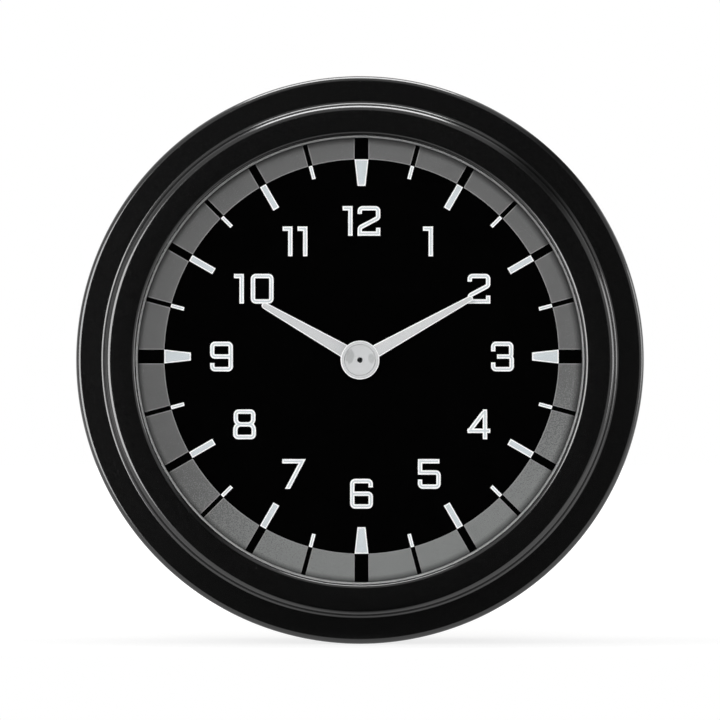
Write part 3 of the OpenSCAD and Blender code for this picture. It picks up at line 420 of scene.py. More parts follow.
def clear_glass(name, tint):
    """Glass that lamps shine straight through, so that what lies behind it is lit."""
    material, tree, shader, _ = bare(name, {
        "Base Color": linear(tint), "Transmission Weight": 1.0, "IOR": 1.5, "Roughness": 0.0})
    path = add(tree, "ShaderNodeLightPath")
    clear = add(tree, "ShaderNodeBsdfTransparent", {"Color": linear(tint)})
    lit = add(tree, "ShaderNodeMixShader", {
        0: path.outputs["Is Shadow Ray"], 1: shader.outputs["BSDF"], 2: clear.outputs["BSDF"]})
    lit = add(tree, "ShaderNodeMixShader", {
        0: path.outputs["Is Diffuse Ray"], 1: lit.outputs["Shader"], 2: clear.outputs["BSDF"]})
    tree.links.new(lit.outputs["Shader"], tree.nodes["Material Output"].inputs["Surface"])
    return material


# Each surface below: its name, two shades, patch size, roughness from and to, grain size and relief, in mm

# Black enamel baked on metal: an even deep black with a soft shine and a faint orange peel
stove_enamel = surface(
    "black_stove_enamel", ("#080808", "#0c0c0c"), 1.2, (0.13, 0.18), 0.35, 0.0012, IOR=1.8)
# Polished sheet glass: clear from the front, with a mirror shine that grows as it turns away
clock_glass = clear_glass("float_glass", "#fdfdfd")
# Matt black ink printed all over the metal dial: dead black, with the fine tooth of the screen
dial_ink = surface("screen_printed_black_ink", ("#020202", "#040404"), 3.0, (0.75, 0.9), 0.08, 0.002, **{
    "Specular IOR Level": 0.0})
# Grey ink of the chapter ring: even, slightly satin, with the tooth of the screen
ring_ink = surface("screen_printed_grey_ink", ("#626262", "#6a6a6a"), 2.0, (0.6, 0.75), 0.08, 0.002)
# The thin pale edge that grey ink gets where two passes of the screen overlap
edge_ink = surface("overprinted_grey_ink", ("#888888", "#929292"), 2.0, (0.6, 0.75), 0.08, 0.002)
sun_faded(ring_ink, FADE_WAY, FADE_START, FADE_END, "#818382")
# Painted shade on both grey inks near the lip
for ink in (ring_ink, edge_ink):
    darkened_rim(ink, RING_SHADE_R, RING_OUT_R, RING_SHADE_X, RING_SHADE)
# White ink: a dense first pass, brightest at its edges
white_ink = surface("screen_printed_white_ink", ("#fafbfb", "#fefefe"), 1.5, (0.55, 0.7), 0.08, 0.002)
# The second pass of white, which dries a shade greyer
pale_ink = surface("overprinted_white_ink", ("#ccd4d8", "#d4dbde"), 1.5, (0.5, 0.65), 0.08, 0.002)
# Moulded grey acetal: a soft even grey, with no shine to throw light on the dial
spacer_plastic = surface("moulded_grey_acetal", ("#aaaaaa", "#b4b4b4"), 2.5, (0.45, 0.6), 0.12, 0.002)
# Lacquer on the faces of the hands: pale grey, smooth, with a slight shine
hand_lacquer = surface("sprayed_grey_lacquer", ("#c6c7c8", "#cecfd0"), 1.5, (0.3, 0.4), 0.1, 0.001)
# The same lacquer on the hub, with two spots of painted shade that stand for the dark reflection in its dish
hub_lacquer_painted_shade = surface("grey_lacquer_painted_shade", ("#c6c7c8", "#cecfd0"), 0.6, (0.28, 0.4), 0.1, 0.001)
worn_spots(hub_lacquer_painted_shade, HUB_SHADE_SPOTS)
# The same lacquer, whiter on the sheared edges: a painted highlight along the edges of the blades and the hub
edge_lacquer_painted_highlight = surface("white_lacquer_painted_highlight", ("#f2f3f3", "#fafafa"), 1.0, (0.3, 0.4), 0.1, 0.001)
# Soft black nitrile rubber: dull, with a faint bloom
seal_rubber = surface("moulded_nitrile_rubber", ("#1e1e1e", "#282828"), 1.5, (0.7, 0.85), 0.15, 0.006)
# Black phenolic: satin, with flow marks in its shade, the fine grain of the mould and rub marks from handling
case_moulding = surface("moulded_black_phenolic", ("#161617", "#202022"), 4.0, (0.42, 0.58), 0.2, 0.006)
rubbed(case_moulding, (0.3, 9.0, 0.3), "#5c5c5e")
# The same on its edges, rubbed a little greyer and shinier by hands
case_edges = surface("rubbed_black_phenolic", ("#2a2a2b", "#3c3c3e"), 1.2, (0.3, 0.42), 0.2, 0.003)
# Black ABS: as moulded, a little glossier than the case, with a soft line of light on each flute
knob_moulding = surface("moulded_black_abs", ("#19191a", "#232324"), 3.0, (0.32, 0.45), 0.18, 0.004)
# Black glass-filled nylon: greyish and dry, with fibres that break the surface
holder_moulding = surface(
    "moulded_glass_filled_nylon", ("#222224", "#303033"), 1.6, (0.5, 0.65), 0.15, 0.008)
# The same on its edges, where fingers that twist it have worn it paler
holder_edges = surface("worn_nylon", ("#3c3c3f", "#4e4e52"), 1.2, (0.42, 0.55), 0.15, 0.004)
# Dark grey ABS of the front plate: dull and even, with the fine grain of the mould
plate_moulding = surface("moulded_grey_abs", ("#36393c", "#404346"), 3.0, (0.45, 0.6), 0.2, 0.004)
# Turned brass, gone slightly dull: warm yellow with browner patches
turned_brass = surface("turned_brass", ("#8c7344", "#cdb47c"), 1.8, (0.2, 0.42), 0.09, 0.002, Metallic=1.0)
# Stamped sheet brass: yellower, with broad patches and a fine grain
sheet_brass = surface("rolled_brass", ("#a68c54", "#d0b883"), 2.6, (0.24, 0.42), 0.12, 0.003, Metallic=1.0)
# Brass on the edges of the blades, burnished bright by the socket that pushes on
blade_edges = surface(
    "burnished_brass", ("#cdb579", "#e3cf9c"), 0.8, (0.18, 0.28), 0.12, 0.002, Metallic=1.0)
# Turned steel: a bright cool grey with a clear line of light along each arbor
bright_steel = surface("turned_steel", ("#9fa2a4", "#b4b7b9"), 2.0, (0.2, 0.32), 0.08, 0.002, Metallic=1.0)
# Zinc plate with a clear passivation: cool grey with a spangle of lighter and darker patches
ZINC_LOOK = (("#8f9497", "#b7bbbd"), 1.1, (0.28, 0.46), 0.14, 0.003)
zinc_plate = surface("zinc_plated_steel", *ZINC_LOOK, Metallic=1.0)
# The same on the clamp, with scratches along it from the washers and the panel
clamp_plate = surface("scratched_zinc_plate", *ZINC_LOOK, Metallic=1.0)
rubbed(clamp_plate, (5.0, 1.6, 0.16), "#e4e6e7")
# Zinc on the clamp's edges, burnished brighter in handling
clamp_edges = surface(
    "burnished_zinc_plate", ("#b6babc", "#d2d5d6"), 0.8, (0.2, 0.32), 0.14, 0.002, Metallic=1.0)
# Sintered ferrite: near-black grey, slightly rough
ferrite = surface("sintered_ferrite", ("#3c3c3e", "#4c4c4f"), 0.8, (0.5, 0.65), 0.1, 0.004)
# Annealed iron sheet: grey, with a dull shine
soft_iron = surface("annealed_iron", ("#77797b", "#8b8e90"), 1.5, (0.4, 0.55), 0.1, 0.003, Metallic=1.0)
# Green nylon of the bobbin: an even mid green with a soft waxy shine
bobbin_moulding = surface("moulded_green_nylon", ("#2a4834", "#355a41"), 1.5, (0.4, 0.55), 0.12, 0.003)
# Tin on a drawn can: bright and silvery, with a fine grain
tinned_can = surface(
    "tinned_drawn_steel", ("#adb0b2", "#c1c4c6"), 1.8, (0.2, 0.34), 0.08, 0.002, Metallic=1.0)
# Black epoxy round the chip: dry and even
chip_epoxy = surface("moulded_epoxy", ("#151516", "#1d1d1f"), 1.0, (0.55, 0.7), 0.1, 0.004)
# Shrunk sleeve of the capacitor: dark blue, smooth and shiny
sleeve_vinyl = surface("shrunk_vinyl", ("#26355e", "#2f406e"), 1.5, (0.22, 0.32), 0.15, 0.002)
# Blown glass of the bulb: clear, a shade warm, with small bright lights on its curve
bulb_glass = clear_glass("blown_glass", "#f6f4ee")


def wound_wire():
    """Enamelled copper wire in close turns: a reddish sheen with a fine line between the turns."""
    # The wire itself is finer than this, and is drawn coarser so that its turns show
    wire_mm = 0.12
    material, tree, shader, place = bare("enamelled_copper_wire", {"Metallic": 0.8, "Roughness": 0.3})
    # At scale 1 a wave texture has a band every pi / 10 metres
    turns = add(tree, "ShaderNodeTexWave", {
        "Vector": place, "Scale": per_metre(wire_mm) * math.pi / 10, "Distortion": 0.4},
        bands_direction="X")
    colour = add(tree, "ShaderNodeMixRGB", {
        "Fac": turns.outputs["Fac"], "Color1": linear("#6d3517"), "Color2": linear("#b86a35")})
    relief = add(tree, "ShaderNodeBump", {
        "Height": turns.outputs["Fac"], "Strength": 0.6, "Distance": wire_mm / 2 * MM})
    tree.links.new(colour.outputs["Color"], shader.inputs["Base Color"])
    tree.links.new(relief.outputs["Normal"], shader.inputs["Normal"])
    return material


def board_laminate():
    """Glass laminate under green solder resist: the copper tracks under it show as lighter, raised lanes."""
    track_mm = 1.3
    track_high_mm = 0.03
    # A track's half width and the end of its sloping side, as shares of the cells that it runs between
    lane_in, lane_out = 0.1, 0.16
    material, tree, shader, place = bare("solder_resist_on_laminate", {"Roughness": 0.35})
    lanes = add(tree, "ShaderNodeTexVoronoi", {"Vector": place, "Scale": per_metre(track_mm * 2)},
                feature="DISTANCE_TO_EDGE")
    edge = add(tree, "ShaderNodeMapRange", {
        "Value": lanes.outputs["Distance"], "From Min": lane_in, "From Max": lane_out})
    colour = add(tree, "ShaderNodeMixRGB", {
        "Fac": edge.outputs["Result"], "Color1": linear("#3f7a45"), "Color2": linear("#28502f")})
    relief = add(tree, "ShaderNodeBump", {
        "Height": edge.outputs["Result"], "Strength": 1.0, "Distance": track_high_mm * MM}, invert=True)
    tree.links.new(colour.outputs["Color"], shader.inputs["Base Color"])
    tree.links.new(relief.outputs["Normal"], shader.inputs["Normal"])
    return material


copper_wire = wound_wire()
laminate = board_laminate()


# Shapes, each as points, faces and a finish number for each face

def skin(rings, loop=False):
    """Faces between rings of equally many points, closed at both ends or back into the first ring."""
    count = len(rings[0])
    points = [point for ring in rings for point in ring]
    faces = []
    for a in range(len(rings) if loop else len(rings) - 1):
        b = (a + 1) % len(rings)
        for i in range(count):
            j = (i + 1) % count
            faces.append((a * count + i, a * count + j, b * count + j, b * count + i))
    if not loop:
        faces.append(tuple(range(count)))
        faces.append(tuple(len(points) - count + i for i in range(count)))
    return points, faces, [0] * len(faces)


def circles(section, steps):
    """One ring of points for each (radius, height) of a half section."""
    turns = [2 * math.pi * i / steps for i in range(steps)]
    return [[(r * math.cos(t), r * math.sin(t), z) for t in turns] for r, z in section]


def arc(r, z, radius, start, end, steps=ROUND_STEPS):
    """Points of a rounding in a half section, from one angle to another."""
    turns = [math.radians(start + (end - start) * i / steps) for i in range(steps + 1)]
    return [(r + radius * math.cos(t), z + radius * math.sin(t)) for t in turns]


def turned(section, steps=TURN_STEPS, paints=None):
    """A closed half section of (radius, height) turned about the axis, with a finish for each side."""
    points, faces, plain = skin(circles(section, steps), loop=True)
    return points, faces, [paint for paint in paints for _ in range(steps)] if paints else plain


def tube_section(r_in, r_out, z0, z1, edge):
    """Half section of a plain ring whose four corners are broken."""
    return [(r_in + edge, z0), (r_out - edge, z0), (r_out, z0 + edge), (r_out, z1 - edge),
            (r_out - edge, z1), (r_in + edge, z1), (r_in, z1 - edge), (r_in, z0 + edge)]


def moved(shape, x, y):
    """A shape set beside the middle."""
    points, faces, paints = shape
    return [(px + x, py + y, pz) for px, py, pz in points], faces, paints


def on_both_sides(shapes, x, y=0):
    """The same shapes left and right of the middle."""
    return [moved(shape, side * x, y) for side in (-1, 1) for shape in shapes]


def clockwise(points, turn, x=0, y=0):
    """Flat points turned clockwise about the origin and then moved."""
    c, s = math.cos(math.radians(turn)), math.sin(math.radians(turn))
    return [(px * c + py * s + x, -px * s + py * c + y) for px, py in points]


def slab(outline, z0, z1):
    """A flat outline as a plate between two heights."""
    return skin([[(x, y, z) for x, y in outline] for z in (z0, z1)])


def inset(outline, depth):
    """A convex outline, drawn anticlockwise, moved inwards by depth."""
    moved_in = []
    for i, (x, y) in enumerate(outline):
        sides = []
        for (ax, ay), (bx, by) in ((outline[i - 1], (x, y)), ((x, y), outline[(i + 1) % len(outline)])):
            length = math.hypot(bx - ax, by - ay)
            sides.append((-(by - ay) / length, (bx - ax) / length))
        mx, my = sides[0][0] + sides[1][0], sides[0][1] + sides[1][1]
        scale = 2 * depth / (mx * mx + my * my)
        moved_in.append((x + mx * scale, y + my * scale))
    return moved_in


def raised(outline, z0, z1, edge, drop):
    """A plate whose front edges fall away. Its face has finish 0, and its edges have finish 1."""
    rings = [[(x, y, z0) for x, y in outline], [(x, y, z1 - drop) for x, y in outline],
             [(x, y, z1) for x, y in inset(outline, edge)]]
    points, faces, _ = skin(rings)
    return points, faces, [1] * (len(faces) - 1) + [0]


def hand_blade(length, root, base_w, tip_w, back, turn):
    """A tapered hand with a round tip, from its root out, turned clockwise from twelve."""
    root_w = base_w + (tip_w - base_w) * root / length
    tip = [(tip_w / 2 * math.cos(t), length - tip_w / 2 + tip_w / 2 * math.sin(t))
           for t in (math.pi * i / TIP_STEPS for i in range(TIP_STEPS + 1))]
    outline = [(-root_w / 2, root), (root_w / 2, root)] + tip
    return raised(clockwise(outline, turn), back, back + HAND_T, HAND_EDGE, HAND_DROP)


def thread(z_tip, z_root):
    """A right-hand screw thread as one skin, with a chamfered tip."""
    count = round((z_root - z_tip) / THREAD_PITCH * THREAD_ROWS)
    rings = []
    for k in range(count + 1):
        z = z_tip + (z_root - z_tip) * k / count
        ring = []
        for i in range(THREAD_STEPS):
            flank = 1 - abs(2 * ((z / THREAD_PITCH - i / THREAD_STEPS) % 1) - 1)
            crest = min(1, max(0, (flank - THREAD_ROOT) / THREAD_FLANK))
            radius = min(STUD_R - THREAD_DEPTH * (1 - crest), STUD_R - STUD_CHAMFER + z - z_tip)
            turn = 2 * math.pi * i / THREAD_STEPS
            ring.append((radius * math.cos(turn), radius * math.sin(turn), z))
        rings.append(ring)
    return skin(rings)


def fluted(r, flutes, flute_r, levels):
    """Rings round a grip with round flutes, one for each level of (height, how far it is drawn in).

    A flute's middle lies half its radius outside the grip.
    """
    steps = flutes * FLUTE_STEPS
    middle = r + flute_r / 2
    profile = []
    for i in range(steps):
        turn = 2 * math.pi * i / steps
        away = (turn + math.pi / flutes) % (2 * math.pi / flutes) - math.pi / flutes
        room = flute_r ** 2 - (middle * math.sin(away)) ** 2
        radius = min(r, middle * math.cos(away) - math.sqrt(room)) if room > 0 else r
        profile.append((radius, turn))
    rings = []
    for z, edge in levels:
        rings.append([((radius - edge) * math.cos(turn), (radius - edge) * math.sin(turn), z)
                      for radius, turn in profile])
    return rings


def hexagon(across, z0, z1, hole_r):
    """A nut or a stud's head, with both faces turned down to a circle so that its corners are chamfered."""
    face_r = across / 2 * HEX_FACE
    slope = math.tan(math.radians(HEX_SLOPE))

    def corner_ring(z, way):
        ring = []
        for i in range(SMALL_STEPS):
            turn = 2 * math.pi * i / SMALL_STEPS
            radius = across / 2 / math.cos(turn % (math.pi / 3) - math.pi / 6)
            height = z + way * (radius - face_r) * slope
            ring.append((radius * math.cos(turn), radius * math.sin(turn), height))
        return ring

    back, front = circles([(face_r, z0), (face_r, z1)], SMALL_STEPS)
    hole = [(hole_r + HEX_SINK, z1), (hole_r, z1 - HEX_SINK),
            (hole_r, z0 + HEX_SINK), (hole_r + HEX_SINK, z0)]
    outside = [back, corner_ring(z0, 1), corner_ring(z1, -1), front]
    return skin(outside + circles(hole, SMALL_STEPS), loop=True)


def stud(z_tip, z_head):
    """A threaded stud with a six-sided head."""
    under = z_head - STUD_HEAD_H
    return [thread(z_tip, under), hexagon(STUD_HEAD_AF, under, z_head, STUD_HEAD_HOLE_R)]


def washer(z0, z1):
    """A plain washer for a stud."""
    return turned(tube_section(WASHER_HOLE_R, WASHER_R, z0, z1, WASHER_EDGE), SMALL_STEPS)


def placed(name, mesh, body, stands_for, at=(0, 0)):
    """A piece in its place in the scene, riding on its body and standing for its solids."""
    mesh.shade_smooth()
    mesh.set_sharp_from_angle(angle=math.radians(CREASE))
    piece = bpy.data.objects.new(name, mesh)
    piece.location = (at[0] * MM, 0, at[1] * MM)
    bpy.context.scene.collection.objects.link(piece)
    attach(piece, body)
    if stands_for:
        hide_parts(*stands_for)
    return piece


def make(name, shapes, finishes, body, stands_for=(), at=(0, 0)):
    """One piece from several shapes."""
    points, faces, paints = [], [], []
    for shape_points, shape_faces, shape_paints in shapes:
        first = len(points)
        points += shape_points
        faces += [[first + i for i in face] for face in shape_faces]
        paints += shape_paints
    mesh = bpy.data.meshes.new(name)
    mesh.from_pydata([(x * MM, -z * MM, y * MM) for x, y, z in points], [], faces)
    for finish in finishes:
        mesh.materials.append(finish)
    mesh.polygons.foreach_set("material_index", paints)
    work = bmesh.new()
    work.from_mesh(mesh)
    bmesh.ops.remove_doubles(work, verts=work.verts, dist=WELD)
    bmesh.ops.recalc_face_normals(work, faces=work.faces)
    work.to_mesh(mesh)
    work.free()
    return placed(name, mesh, body, stands_for, at)


def softened(node, edge, finish, edge_finish, body):
    """A copy of a solid whose sharp edges are broken, as by a mould or a tumbling barrel, and worn."""
    # Faces that turn by less, in degrees, count as flat, and edges that turn by more are broken
    flat_under, sharp_over = 0.5, 40
    name = node + "_soft"
    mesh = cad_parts[node].data.copy()
    mesh.name = name
    work = bmesh.new()
    work.from_mesh(mesh)
    bmesh.ops.remove_doubles(work, verts=work.verts, dist=WELD)
    bmesh.ops.dissolve_limit(work, angle_limit=math.radians(flat_under), verts=work.verts, edges=work.edges)
    work.to_mesh(mesh)
    work.free()
    mesh.materials.clear()
    mesh.materials.append(finish)
    mesh.materials.append(edge_finish)
    piece = placed(name, mesh, body, [node])
    broken = piece.modifiers.new("broken_edges", "BEVEL")
    broken.width = edge * MM
    broken.segments = 2
    broken.material = 1
    broken.limit_method = "ANGLE"
    broken.angle_limit = math.radians(sharp_over)
    broken.use_clamp_overlap = False
    broken.harden_normals = True
    return piece


# Bezel, glass, spacer and dial

bezel_section = (
    [(APERTURE_R, GLASS_FRONT)]
    + arc(APERTURE_R + LIP_ROUND, BEZEL_FRONT - LIP_ROUND, LIP_ROUND, 180, 90)
    + arc(RISER_R - STEP_ROUND, BEZEL_FRONT - STEP_ROUND, STEP_ROUND, 90, 0, WIDE_ROUND_STEPS)
    + arc(RISER_R + STEP_FILLET, OUTER_BAND + STEP_FILLET, STEP_FILLET, 180, 270)
    + arc(BEZEL_R - RIM_ROUND, OUTER_BAND - RIM_ROUND, RIM_ROUND, 90, 0)
    + arc(BEZEL_R - RIM_ROUND, RIM_ROUND, RIM_ROUND, 0, -90)
    + [(BARREL_R + LOOSE, 0), (BARREL_R + LOOSE, CRIMP), (FLANGE_R + LOOSE, CRIMP),
       (FLANGE_R + LOOSE, FLANGE_FRONT + LOOSE), (GLASS_R + LOOSE, FLANGE_FRONT + LOOSE),
       (GLASS_R + LOOSE, GLASS_FRONT)]
)
make("stepped_bezel", [turned(bezel_section)], [stove_enamel], "clock_body", ["bezel"])

glass_section = [(0, GLASS_BACK), (GLASS_R - GLASS_EDGE, GLASS_BACK), (GLASS_R, GLASS_BACK + GLASS_EDGE),
                 (GLASS_R, GLASS_FRONT - GLASS_EDGE), (GLASS_R - GLASS_EDGE, GLASS_FRONT), (0, GLASS_FRONT)]
glass = make("flat_glass", [turned(glass_section)], [clock_glass], "clock_body", ["lens"])

make("spacer", [turned(tube_section(SPACER_IN_R, SPACER_R, SPACER_BACK, SPACER_FRONT, SPACER_EDGE))],
     [spacer_plastic], "clock_body", ["spacer_ring"])
make("dial_plate", [turned(tube_section(DIAL_HOLE_R, DIAL_R, DIAL_BACK, DIAL_FRONT, DIAL_EDGE))],
     [dial_ink], "clock_body", ["dial"])


# Print on the dial

def mark_at(step):
    """What stands at a mark's place: the gap in the grey ring and the white mark inside it."""
    if step % (MARKS // 4) == 0:
        return QUARTER_GAP, QUARTER_MARK
    if step % (MARKS // 12) == 0:
        return HOUR_GAP, HOUR_MARK
    return HALF_GAP, HALF_MARK


def on_ring(turn, side):
    """The point where a line beside the radius at that turn meets the outside of the grey ring."""
    (ux, uy), = clockwise([(0, 1)], turn)
    sx, sy = PRINT_X + uy * side, PRINT_Y - ux * side
    b = sx * ux + sy * uy
    along = -b + math.sqrt(b * b - sx * sx - sy * sy + RING_OUT_R ** 2)
    return sx + ux * along, sy + uy * along


def ring_piece(step, edge):
    """Outline of the grey ring between two gaps, drawn in by edge at the gaps and on the inside."""
    first, last = MARK_TURN * step, MARK_TURN * (step + 1)
    inner_r = RING_IN_R + edge
    here, there = mark_at(step)[0] / 2 + edge, mark_at(step + 1)[0] / 2 + edge
    start = first + math.degrees(math.asin(here / inner_r))
    end = last - math.degrees(math.asin(there / inner_r))
    inside = []
    for i in range(ARC_STEPS + 1):
        inside += clockwise([(0, inner_r)], start + (end - start) * i / ARC_STEPS, PRINT_X, PRINT_Y)
    start, end = (math.atan2(x, y) for x, y in (on_ring(last, -there), on_ring(first, here)))
    if start < end:
        start += 2 * math.pi
    outside = [(RING_OUT_R * math.sin(t), RING_OUT_R * math.cos(t))
               for t in (start + (end - start) * i / ARC_STEPS for i in range(ARC_STEPS + 1))]
    return inside + outside


def mark(step, edge):
    """Outline of the white mark inside the grey ring, drawn in by edge."""
    length, outer_w, inner_w = mark_at(step)[1]
    near, far = RING_IN_R - edge, RING_IN_R - length + edge
    outer, inner = outer_w / 2 - edge, inner_w / 2 - edge
    corners = [(-inner, far), (inner, far), (outer, near), (-outer, near)]
    return clockwise(corners, MARK_TURN * step, PRINT_X, PRINT_Y)


def printed(name, outline, edge, height, ink):
    """A thin layer of ink at every mark's place, from an outline drawn in by edge."""
    layers = [slab(outline(step, edge), DIAL_FRONT, DIAL_FRONT + height) for step in range(MARKS)]
    make(name, layers, [ink], "clock_body")


printed("ring_edges", ring_piece, 0, INK, edge_ink)
printed("grey_ring", ring_piece, KEYLINE, 2 * INK, ring_ink)
printed("white_marks", mark, 0, INK, white_ink)
printed("pale_marks", mark, MARK_EDGE, 2 * INK, pale_ink)

# Each digit is a list of strokes: whether it closes, and its corners as (x, y, rounding)
DIGITS = {
    "0": [(True, [(-WIDE, HIGH, ROUND), (WIDE, HIGH, ROUND), (WIDE, -HIGH, ROUND), (-WIDE, -HIGH, ROUND)])],
    "1": [(False, [(-ONE_W / 2, HIGH, 0), (ONE_W / 2 - HALF, HIGH, 0), (ONE_W / 2 - HALF, -HIGH - HALF, 0)])],
    "2": [(False, [(-WIDE, HIGH - 0.6, 0), (-WIDE, HIGH, ROUND), (WIDE, HIGH, ROUND), (WIDE, 0.32, ROUND),
                   (-WIDE, -0.72, ROUND), (-WIDE, -HIGH, 0), (WIDE, -HIGH, 0), (WIDE, -HIGH + 0.62, 0)])],
    "3": [(False, [(-WIDE, HIGH - 0.8, 0), (-WIDE, HIGH, ROUND), (WIDE - BOWL_IN, HIGH, ROUND),
                   (WIDE - BOWL_IN, 0, ROUND), (-0.58, 0, 0)]),
          (False, [(-0.56, 0, 0), (WIDE, 0, ROUND), (WIDE, -HIGH, ROUND), (-WIDE, -HIGH, ROUND),
                   (-WIDE, -HIGH + 0.72, 0)])],
    "4": [(False, [(0.64, HIGH + HALF, 0), (0.64, -HIGH - HALF, 0)]),
          (False, [(-WIDE - HALF, -0.69, 0), (WIDE + HALF, -0.69, 0)]),
          (False, [(0.6, HIGH + 0.05, 0), (-WIDE - 0.02, -0.69, 0)])],
    "5": [(False, [(WIDE + 0.1, HIGH, 0), (-WIDE, HIGH, 0), (-WIDE, 0.16, 0), (WIDE, 0.16, ROUND),
                   (WIDE, -HIGH, ROUND), (-WIDE, -HIGH, ROUND), (-WIDE, -HIGH + 0.76, 0)])],
    "6": [(False, [(WIDE, HIGH - 0.68, 0), (WIDE, HIGH, ROUND), (-WIDE, HIGH, ROUND), (-WIDE, -HIGH, ROUND),
                   (WIDE, -HIGH, ROUND), (WIDE, 0, ROUND), (-0.2, 0, 0)]),
          (False, [(0.3, 0, 0), (-WIDE - JOIN, 0, 0)])],
    "7": [(False, [(-WIDE - HALF, HIGH, 0), (WIDE - 0.08, HIGH, 0), (-0.66, -HIGH - HALF, 0)])],
    "8": [(True, [(-WIDE + BOWL_IN, HIGH, ROUND), (WIDE - BOWL_IN, HIGH, ROUND),
                  (WIDE - BOWL_IN, 0, WAIST), (-WIDE + BOWL_IN, 0, WAIST)]),
          (True, [(-WIDE, 0, WAIST), (WIDE, 0, WAIST), (WIDE, -HIGH, ROUND), (-WIDE, -HIGH, ROUND)])],
    "9": [(False, [(-WIDE, -HIGH + 0.66, 0), (-WIDE, -HIGH, ROUND), (WIDE, -HIGH, ROUND), (WIDE, HIGH, ROUND),
                   (-WIDE, HIGH, ROUND), (-WIDE, 0, ROUND), (0.2, 0, 0)]),
          (False, [(-0.3, 0, 0), (WIDE + JOIN, 0, 0)])],
}
# Numerals that stand off the even circle: further out, to the right, and wider apart
NUMERAL_OUT = {1: -0.28, 3: 0.57, 6: 0.17, 9: 0.47, 11: -0.28}
NUMERAL_RIGHT = {8: 0.05, 10: 1.03}
NUMERAL_WIDER = {10: 0.2}


def rounded(corners, closed):
    """A centre line through the corners, with a short arc at each rounded one."""
    line = []
    for i, (x, y, r) in enumerate(corners):
        if r == 0 or (not closed and i in (0, len(corners) - 1)):
            line.append((x, y))
            continue
        ways = []
        for ox, oy, _ in (corners[i - 1], corners[(i + 1) % len(corners)]):
            length = math.hypot(ox - x, oy - y)
            ways.append(((ox - x) / length, (oy - y) / length))
        half = math.acos(ways[0][0] * ways[1][0] + ways[0][1] * ways[1][1]) / 2
        mx, my = ways[0][0] + ways[1][0], ways[0][1] + ways[1][1]
        reach = r / math.sin(half) / math.hypot(mx, my)
        cx, cy = x + mx * reach, y + my * reach
        back = r / math.tan(half)
        start = math.atan2(y + ways[0][1] * back - cy, x + ways[0][0] * back - cx)
        sweep = math.atan2(y + ways[1][1] * back - cy, x + ways[1][0] * back - cx) - start
        sweep = (sweep + math.pi) % (2 * math.pi) - math.pi
        for k in range(CORNER_STEPS + 1):
            turn = start + sweep * k / CORNER_STEPS
            line.append((cx + r * math.cos(turn), cy + r * math.sin(turn)))
    return line


def shortened(line, cut):
    """An open line with both of its ends drawn in."""
    line = list(line)
    for end, inner in ((0, 1), (-1, -2)):
        (x, y), (ox, oy) = line[end], line[inner]
        length = math.hypot(ox - x, oy - y)
        line[end] = (x + (ox - x) * cut / length, y + (oy - y) * cut / length)
    return line


def stroke(line, width, closed, z0, z1):
    """A line drawn with a pen, as a thin solid with mitred corners and a level cut at a sloping end."""
    rings = []
    count = len(line)
    for i, (x, y) in enumerate(line):
        before = line[i - 1] if closed or i > 0 else None
        after = line[(i + 1) % count] if closed or i < count - 1 else None
        sides = []
        for a, b in ((before, (x, y)), ((x, y), after)):
            if a and b:
                length = math.hypot(b[0] - a[0], b[1] - a[1])
                sides.append((-(b[1] - a[1]) / length, (b[0] - a[0]) / length))
        mx, my = sum(s[0] for s in sides) / len(sides), sum(s[1] for s in sides) / len(sides)
        scale = width / 2 / max(mx * mx + my * my, MITRE_LEAST)
        if len(sides) == 1 and abs(mx * my) > SLOPED:
            mx, my, scale = math.copysign(1, mx), 0, width / 2 / abs(mx)
        left, right = (x + mx * scale, y + my * scale), (x - mx * scale, y - my * scale)
        rings.append([(*left, z1), (*right, z1), (*right, z0), (*left, z0)])
    return skin(rings, loop=closed)


def numeral(hour, width, height):
    """One hour's digits, side by side round their middle, drawn with a pen of that width."""
    text = str(hour)
    widths = [ONE_W if d == "1" else 2 * (WIDE + HALF) for d in text]
    gap = DIGIT_GAP + NUMERAL_WIDER.get(hour, 0)
    out = NUMERAL_R + NUMERAL_OUT.get(hour, 0)
    (cx, cy), = clockwise([(0, out)], NUMERAL_TURN * hour, PRINT_X, PRINT_Y)
    left = cx + NUMERAL_RIGHT.get(hour, 0) - (sum(widths) + gap * (len(text) - 1)) / 2
    shapes = []
    for digit, digit_w in zip(text, widths):
        for layer, (closed, corners) in enumerate(DIGITS[digit]):
            line = rounded(corners, closed)
            if not closed:
                line = shortened(line, (STROKE - width) / 2)
            top = DIAL_FRONT + height + layer * STROKE_RISE
            shapes.append(moved(stroke(line, width, closed, DIAL_FRONT, top), left + digit_w / 2, cy))
        left += digit_w + gap
    return shapes


make("white_numerals", [shape for hour in HOURS for shape in numeral(hour, STROKE, INK)],
     [white_ink], "clock_body")
make("pale_numerals", [shape for hour in HOURS for shape in numeral(hour, STROKE_CORE, 2 * INK)],
     [pale_ink], "clock_body")


# Hands

hour_boss = tube_section(HOUR_BOSS_IN_R, HOUR_BOSS_R, HOUR_BACK, HOUR_FRONT, BOSS_EDGE)
make("hour_hand_plate", [
    hand_blade(HOUR_LEN, HOUR_ROOT, HOUR_W, HOUR_TIP, HOUR_FRONT - HAND_T, HOUR_AT),
    turned(hour_boss, SMALL_STEPS),
], [hand_lacquer, edge_lacquer_painted_highlight], "hour_hand", ["hour_hand"])

dish_r = HUB_R - HUB_RIM
hub_section = [
    (PINHOLE_R, HUB_FRONT - DISH), (dish_r - GROOVE_W, HUB_FRONT - HUB_DROP),
    (dish_r - GROOVE_W / 2, HUB_FRONT - GROOVE_DEEP), (dish_r, HUB_FRONT),
    (HUB_R - HUB_EDGE, HUB_FRONT), (HUB_R, HUB_FRONT - HUB_DROP), (HUB_R, HUB_BACK),
    (ARBOR_R, HUB_BACK), (ARBOR_R, HUB_FRONT - DISH - HUB_WEB), (PINHOLE_R, HUB_FRONT - DISH - HUB_WEB)]
